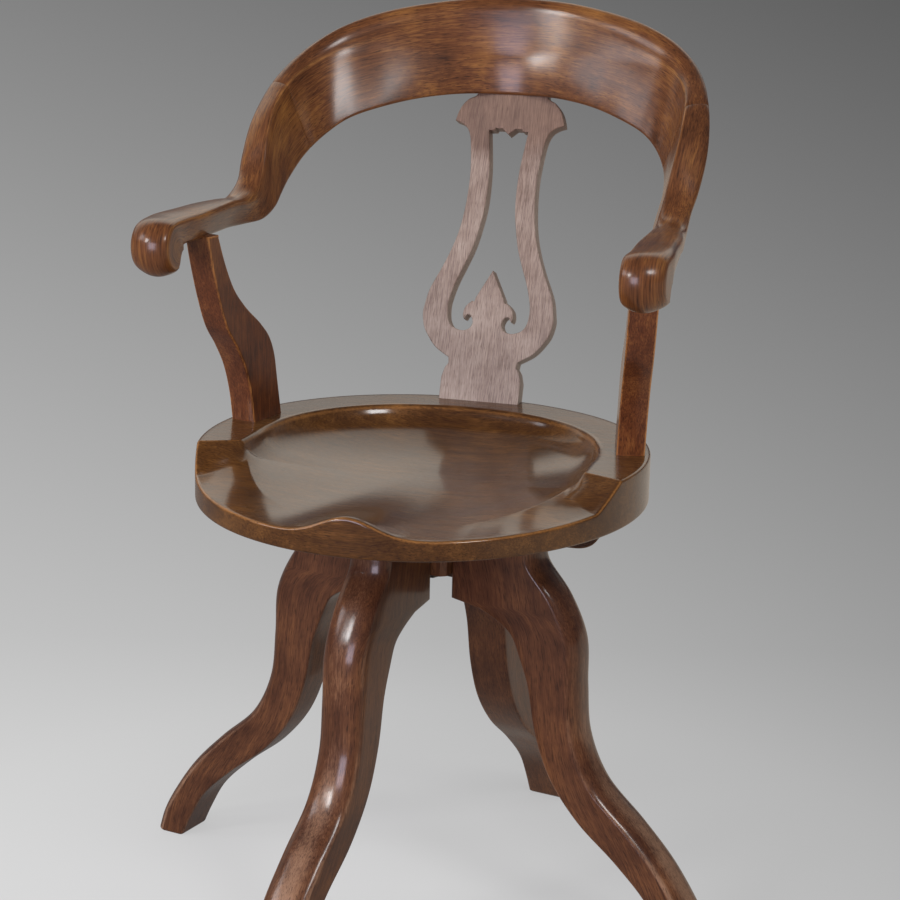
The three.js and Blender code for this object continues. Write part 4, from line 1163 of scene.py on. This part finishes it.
@dataclass
class Supports:
    """The two shaped boards between the seat's rim and the arms."""

    oak: bpy.types.Material
    thickness: float = 28.5
    depth: float = 51
    foot_x: float = 191
    foot_y: float = -2
    foot_z: float = 493.3
    head_z: float = 691.7
    toe: float = 13.7
    lean: float = 1.5
    rounding: float = 2.2
    overlap: float = 3

    def build(self) -> None:
        """Builds the right board, and mirrors it for the left."""
        size = [self.depth, self.head_z - self.foot_z]
        front = through(SUPPORT_FRONT, 8) * size
        rear = through(SUPPORT_REAR, 8) * size
        head, foot = [0, self.overlap], [0, -self.overlap]
        outline = join(
            front[:1] + foot, front, front[-1:] + head, rear[:1] + head, rear, rear[-1:] + foot)
        toe = np.radians(self.toe)
        out = np.array([np.cos(toe), np.sin(toe), 0])
        back = np.array([-np.sin(toe), np.cos(toe), 0])
        rise = UP + out * np.tan(np.radians(self.lean))
        place = np.array([self.foot_x, self.foot_y, self.foot_z]) + out * self.thickness
        frame = np.stack([back, rise, out, place], axis=1)
        skin = board([outline[::-1]], self.thickness, self.rounding, frame)
        make_piece("arm_support_right_wood", skin, "seat", ["arm_support_right"], self.oak)
        other = skin.moved(np.diag(MIRROR))
        other.grain = skin.grain + np.array([0.0, 300.0, 120.0])
        make_piece("arm_support_left_wood", other, "seat", ["arm_support_left"], self.oak)


@dataclass
class Battens:
    """The two bearers under the seat, with rounded lower ends."""

    oak: bpy.types.Material
    length: float = 392
    width: float = 50
    thickness: float = 25
    spacing: float = 126
    top: float = 443.7
    rounding: float = 1.5

    def build(self) -> None:
        """Builds each bearer as a board that stands on edge across the chair."""
        half, t = self.length / 2, self.thickness
        end = np.array([[-half, -0.35 * t], [-half + 0.2 * t, -t], [-half + t, -t]])
        curve = bend(*end, 12)
        right = (curve * [-1, 1])[::-1]
        outline = join([[-half, 0.0]], curve, right, [[half, 0.0]])
        for name, y in (("front", -self.spacing / 2), ("rear", self.spacing / 2)):
            frame = np.array([[1, 0, 0, 0], [0, 0, -1, y - self.width / 2], [0, 1, 0, self.top]], float)
            skin = board([outline], self.width, self.rounding, frame)
            skin.grain = skin.points.copy()
            node = f"seat_batten_{name}"
            make_piece(node + "_wood", skin, "seat", [node], self.oak)


@dataclass(frozen=True)
class Lamp:
    """A soft box that points at the chair's middle: place and size in metres, power in watts, tint."""

    name: str
    place: tuple[float, float, float]
    size: tuple[float, float]
    watts: float
    tint: str = "#ffffff"


LAMPS = (
    Lamp("front", (-0.65, -2.75, 0.92), (1.4, 1.05), 33.0, "#f2eaff"),
    Lamp("left", (-1.6, -2.05, 1.75), (0.45, 0.6), 23.0),
    Lamp("far left", (-2.4, -1.1, 1.9), (0.9, 0.9), 12.0, "#fbfaff"),
    Lamp("right", (1.7, -1.5, 2.4), (0.7, 0.6), 24.0),
)
CHAIR_MIDDLE = Vector((0.0, 0.0, 0.6))


@dataclass
class Studio:
    """Pale floor that runs to the horizon, soft light, and the camera at the photograph's place.

    Angles are in degrees, the camera's place is in millimetres, and the floor's lengths are in metres.
    Tones are sRGB shares, from 0 to 1.
    """

    azimuth: float = 15.59
    elevation: float = 14.48
    roll: float = 1.34
    sensor: float = 36.0
    focal_pixels: float = 2375.4
    axis_pixel: tuple[float, float] = (458.22, 456.49)
    place: tuple[float, float, float] = (653.42, -2241.83, 1077.29)
    view_distance: float = 2.335
    view_reach: float = 200.0
    paper_far: float = 0.382
    paper_gain: float = 0.97
    paper_painted_light_lean: float = 0.35
    paper_near: float = 0.07
    paper_near_span: tuple[float, float] = (-0.8, 0.4)
    paper_least: float = 0.375
    shadow_span: tuple[float, float] = (0.2, 0.6)
    shadow_floor_share: float = 0.7
    display_gamma: float = 2.2
    lit_paper: str = "#b4b4b4"
    sheen_left: str = "#7c7876"
    sheen_right_rear: str = "#b8aea2"
    sheen_way: tuple[float, float, float] = (0.75, 0.65, 0.0)
    sheen_span: tuple[float, float] = (-0.1, 0.6)
    floor_reach: float = 60.0
    floor_sides: int = 96
    world_light: float = 0.46
    far_colour: str = "#626262"
    wall_dark: str = "#403d46"
    wall_pale: str = "#fdf5e8"
    wall_way: tuple[float, float, float] = (-0.45, 0.9, 0.0)
    wall_edge: tuple[float, float] = (0.45, 0.78)
    wall_heights: tuple[tuple[float, float], ...] = ((0.18, 0.272), (0.88, 0.64))

    def camera(self) -> None:
        """Creates the camera. Its axis meets the picture a little off the middle, which the shift gives."""
        a, e, r = np.radians([self.azimuth, self.elevation, self.roll])
        back = np.array([np.sin(a) * np.cos(e), -np.cos(a) * np.cos(e), np.sin(e)])
        right = np.array([np.cos(a), np.sin(a), 0])
        up = np.cross(back, right)
        columns = np.stack([
            right * np.cos(r) + up * np.sin(r), up * np.cos(r) - right * np.sin(r), back], axis=1)
        data = bpy.data.cameras.new("view")
        data.sensor_width = self.sensor
        data.lens = self.focal_pixels / PHOTO_PIXELS * data.sensor_width
        data.shift_x = (PHOTO_PIXELS / 2 - self.axis_pixel[0]) / PHOTO_PIXELS
        data.shift_y = (self.axis_pixel[1] - PHOTO_PIXELS / 2) / PHOTO_PIXELS
        data.clip_end = self.view_reach
        camera = bpy.data.objects.new("view", data)
        turned = Matrix([[float(v) for v in row] for row in columns]).to_4x4()
        camera.matrix_world = Matrix.Translation(Vector(self.place) * MM) @ turned
        bpy.context.scene.collection.objects.link(camera)
        bpy.context.scene.camera = camera

    def floor(self) -> None:
        """Lays the floor. The camera sees it darken with distance, and light meets a plain pale floor.

        The camera sees a floor that mostly glows, and its tone is painted light: a level at the horizon,
        plus a gain on the angle below it, so that it darkens with distance, less a lean to the right, away
        from the light on the left, plus a rise towards the front. Polish mirrors a plainer floor that also
        glows, as a painted reflection, paler to the right and behind.
        """
        material, add = new_material("studio paper")
        a = np.radians(self.azimuth)
        right, front = (float(np.cos(a)), float(np.sin(a)), 0.0), (float(np.sin(a)), float(-np.cos(a)), 0.0)
        place = add("TexCoord").outputs["Object"]
        side, ahead, right_rear = (
            add("VectorMath", {0: place, 1: way}, operation="DOT_PRODUCT").outputs["Value"]
            for way in (right, front, self.sheen_way))
        distance = add("VectorMath", {0: place}, operation="LENGTH").outputs["Value"]
        away = add("Math", {0: distance, 1: self.view_distance}, operation="ADD")
        slope = add("Math", {0: self.place[2] * MM, 1: away}, operation="DIVIDE")
        steep = add("Math", {0: slope}, operation="ARCTANGENT")
        level = add("Math", {0: steep, 1: self.paper_gain, 2: self.paper_far}, operation="MULTIPLY_ADD")
        sideways = add("Math", {0: side, 1: away}, operation="DIVIDE")
        # Painted light: the floor darkens with distance and to the right, away from the light on the left.
        tone = add("Math", {0: sideways, 1: -self.paper_painted_light_lean, 2: level}, operation="MULTIPLY_ADD")
        low, high = self.paper_near_span
        nearer = add("MapRange", {
            "Value": ahead, "From Min": low, "From Max": high, "To Max": self.paper_near})
        for operation, amount in (
                ("ADD", nearer), ("MAXIMUM", self.paper_least), ("POWER", self.display_gamma)):
            tone = add("Math", {0: tone, 1: amount}, operation=operation)
        low, high = self.shadow_span
        lit = add("MapRange", {
            "Value": distance, "From Min": low, "From Max": high, "To Min": self.shadow_floor_share},
            interpolation_type="SMOOTHSTEP")
        seen = add("MixShader", {
            0: lit, 1: add("BsdfDiffuse", {"Color": tone}),
            2: add("Emission", {"Color": tone, "Strength": 1.0})})
        low, high = self.sheen_span
        paler = add("MapRange", {"Value": right_rear, "From Min": low, "From Max": high},
                    interpolation_type="SMOOTHSTEP")
        sheen = add("Mix", {0: paler, 6: colour(self.sheen_left), 7: colour(self.sheen_right_rear)},
                    data_type="RGBA")
        path = add("LightPath")
        other = add("MixShader", {
            0: path.outputs["Is Glossy Ray"],
            1: add("BsdfDiffuse", {"Color": colour(self.lit_paper)}),
            2: add("Emission", {"Color": sheen.outputs[2], "Strength": 1.0})})
        shown = add("MixShader", {0: path.outputs["Is Camera Ray"], 1: other, 2: seen})
        add("OutputMaterial", {"Surface": shown})
        turn = np.linspace(0, 2 * np.pi, self.floor_sides + 1)[:-1]
        rim = np.stack([np.cos(turn), np.sin(turn), np.zeros_like(turn)], axis=1) * self.floor_reach
        mesh = bpy.data.meshes.new("floor")
        mesh.from_pydata(rim.tolist(), [], [list(range(self.floor_sides))])
        mesh.materials.append(material)
        floor = bpy.data.objects.new("floor", mesh)
        bpy.context.scene.collection.objects.link(floor)

    def light(self) -> None:
        """Sets the world and the soft boxes. Polish mirrors a dark room with one pale wall behind."""
        world = bpy.data.worlds.new("studio")
        bpy.context.scene.world = world
        world.use_nodes = True
        world.node_tree.nodes.clear()
        add = partial(add_node, world.node_tree)
        path = add("LightPath")
        around = add("TexCoord").outputs["Generated"]
        height = add("SeparateXYZ", {0: around}).outputs["Z"]
        behind = add("VectorMath", {0: around, 1: self.wall_way}, operation="DOT_PRODUCT").outputs["Value"]
        share = 1.0
        low, high = self.wall_heights
        for value, (start, end) in ((behind, self.wall_edge), (height, low), (height, high)):
            step = add("MapRange", {"Value": value, "From Min": start, "From Max": end},
                       interpolation_type="SMOOTHSTEP")
            share = add("Math", {0: share, 1: step}, operation="MULTIPLY")
        mirrored = add("Mix", {0: share, 6: colour(self.wall_dark), 7: colour(self.wall_pale)},
                       data_type="RGBA")
        plain, gloss, seen = (
            add("Background", {"Color": shade, "Strength": strength})
            for shade, strength in ((colour("#ffffff"), self.world_light), (mirrored.outputs[2], 1.0),
                                    (colour(self.far_colour), 1.0)))
        first = add("MixShader", {0: path.outputs["Is Glossy Ray"], 1: plain, 2: gloss})
        last = add("MixShader", {0: path.outputs["Is Camera Ray"], 1: first, 2: seen})
        add("OutputWorld", {"Surface": last})
        for lamp in LAMPS:
            data = bpy.data.lights.new(lamp.name, "AREA")
            data.shape, data.energy, data.color = "RECTANGLE", lamp.watts, colour(lamp.tint)[:3]
            data.size, data.size_y = lamp.size
            box = bpy.data.objects.new(lamp.name, data)
            box.location = lamp.place
            aim = CHAIR_MIDDLE - Vector(lamp.place)
            box.rotation_euler = aim.to_track_quat("-Z", "Y").to_euler()
            bpy.context.scene.collection.objects.link(box)


# What each real finish gives the eye.
FINISHES: dict[str, PolishedOak | PlainMetal] = {
    # Brown shellac, thin enough for orange oak to show through, with broad soft sheens.
    "bow": PolishedOak("shellacked oak, bow", "#3a2011", "#673d20", "#91602f", "#b07a40"),
    # Polished by use: dark wood under a coat that mirrors the room's pale wall.
    "seat": PolishedOak("shellacked oak, seat", "#361e0e", "#523316", "#734c24", "#a26e3a",
                        roughness=0.42, specular=0.06, coat=0.92, coat_roughness=0.14),
    # Redder shellac, rubbed to orange along the arrises.
    "supports": PolishedOak("shellacked oak, supports", "#3a1d10", "#61341b", "#824f28", "#c4864a",
                            wear_and_light_share=0.85),
    # Dark red-brown shellac, scuffed to grey-brown towards the feet; the grey-brown there and on the crowns
    # is partly painted sheen from the pale floor and the front lamp.
    "legs": PolishedOak("shellacked oak, legs", "#3a1f14", "#5a3621", "#774b2c", "#a07c62",
                        coat_roughness=0.18, wear_and_light_share=0.75),
    # Stripped and waxed: pale, dull, with open upright grain. Its paler worn colour is painted light,
    # stronger towards the foot.
    "splat": PolishedOak("waxed oak, splat", "#5c463b", "#785e50", "#8f7362", "#beafa3",
                         pore="#5e463c", roughness=0.5, specular=0.3, coat=0.15, coat_roughness=0.3,
                         ring_share=0.15, streak_mm=1.1, streak_share=0.6, wear_and_light_share=0.9),
    # Stained without polish, dark and dull.
    "bearers": PolishedOak("stained oak, bearers", "#2e1b10", "#42291a", "#5a3b26", "#704c30",
                           roughness=0.5, coat=0.2),
    # As the legs, with upright grain.
    "block": PolishedOak("shellacked oak, block", "#3a1f14", "#5a3621", "#774b2c", "#94643e",
                         grain=Grain.UPRIGHT),
    # Bare close-grained wood, pale and matt.
    "dowels": PolishedOak("bare beech, dowels", "#b08a5c", "#c09a6c", "#ccaa80", "#c8a478",
                          pore="#9a784c", grain=Grain.LEVEL, roughness=0.6, coat=0.0),
    # Black oxide from the forge, nearly matt.
    "plates": PlainMetal("black forged iron", "#2a2826", "#4a4744", 0.55),
    # Turned and handled, so smoother and greyer.
    "spindle": PlainMetal("turned iron", "#3a3835", "#66625c", 0.4),
    # Cut steel, grey with a dull shine.
    "fasteners": PlainMetal("dull steel", "#6c6862", "#96918a", 0.42),
}
# The finish of the carried-over CAD nodes, by the start of a node's name. The longest start wins.
NODE_FINISHES = {
    "bow_dowel": "dowels", "leg_dowel": "dowels", "leg_block": "block", "swivel_": "plates",
    "swivel_spindle": "spindle", "thrust_washer": "fasteners", "spindle_": "fasteners",
    "top_plate_screw": "fasteners", "bottom_plate_screw": "fasteners", "batten_screw": "fasteners",
}


def dress_nodes(nodes: dict[str, bpy.types.Object], finishes: dict[str, bpy.types.Material]) -> None:
    """Gives the carried-over CAD nodes their finishes.

    Args:
        nodes: the frame's nodes by name.
        finishes: the materials by the names that FINISHES gives them.
    """
    for name, node in nodes.items():
        fits = [start for start in NODE_FINISHES if name.startswith(start)]
        if fits:
            node.data.materials.clear()
            node.data.materials.append(finishes[NODE_FINISHES[max(fits, key=len)]])


def main() -> None:
    """Builds the chair's pieces in order and sets up the studio."""
    logging.basicConfig(level=logging.INFO, format="%(name)s: %(message)s")
    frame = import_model()
    studio = Studio()
    studio.camera()
    studio.floor()
    studio.light()

    finishes = {key: finish.make() for key, finish in FINISHES.items()}
    dress_nodes(frame["nodes"], finishes)
    Bow(finishes["bow"]).build()
    Seat(finishes["seat"]).build()
    Supports(finishes["supports"]).build()
    Splat(finishes["splat"]).build()
    Legs(finishes["legs"]).build()
    Battens(finishes["bearers"]).build()
    bpy.context.scene.view_settings.view_transform = "Standard"


if __name__ == "__main__":
    main()
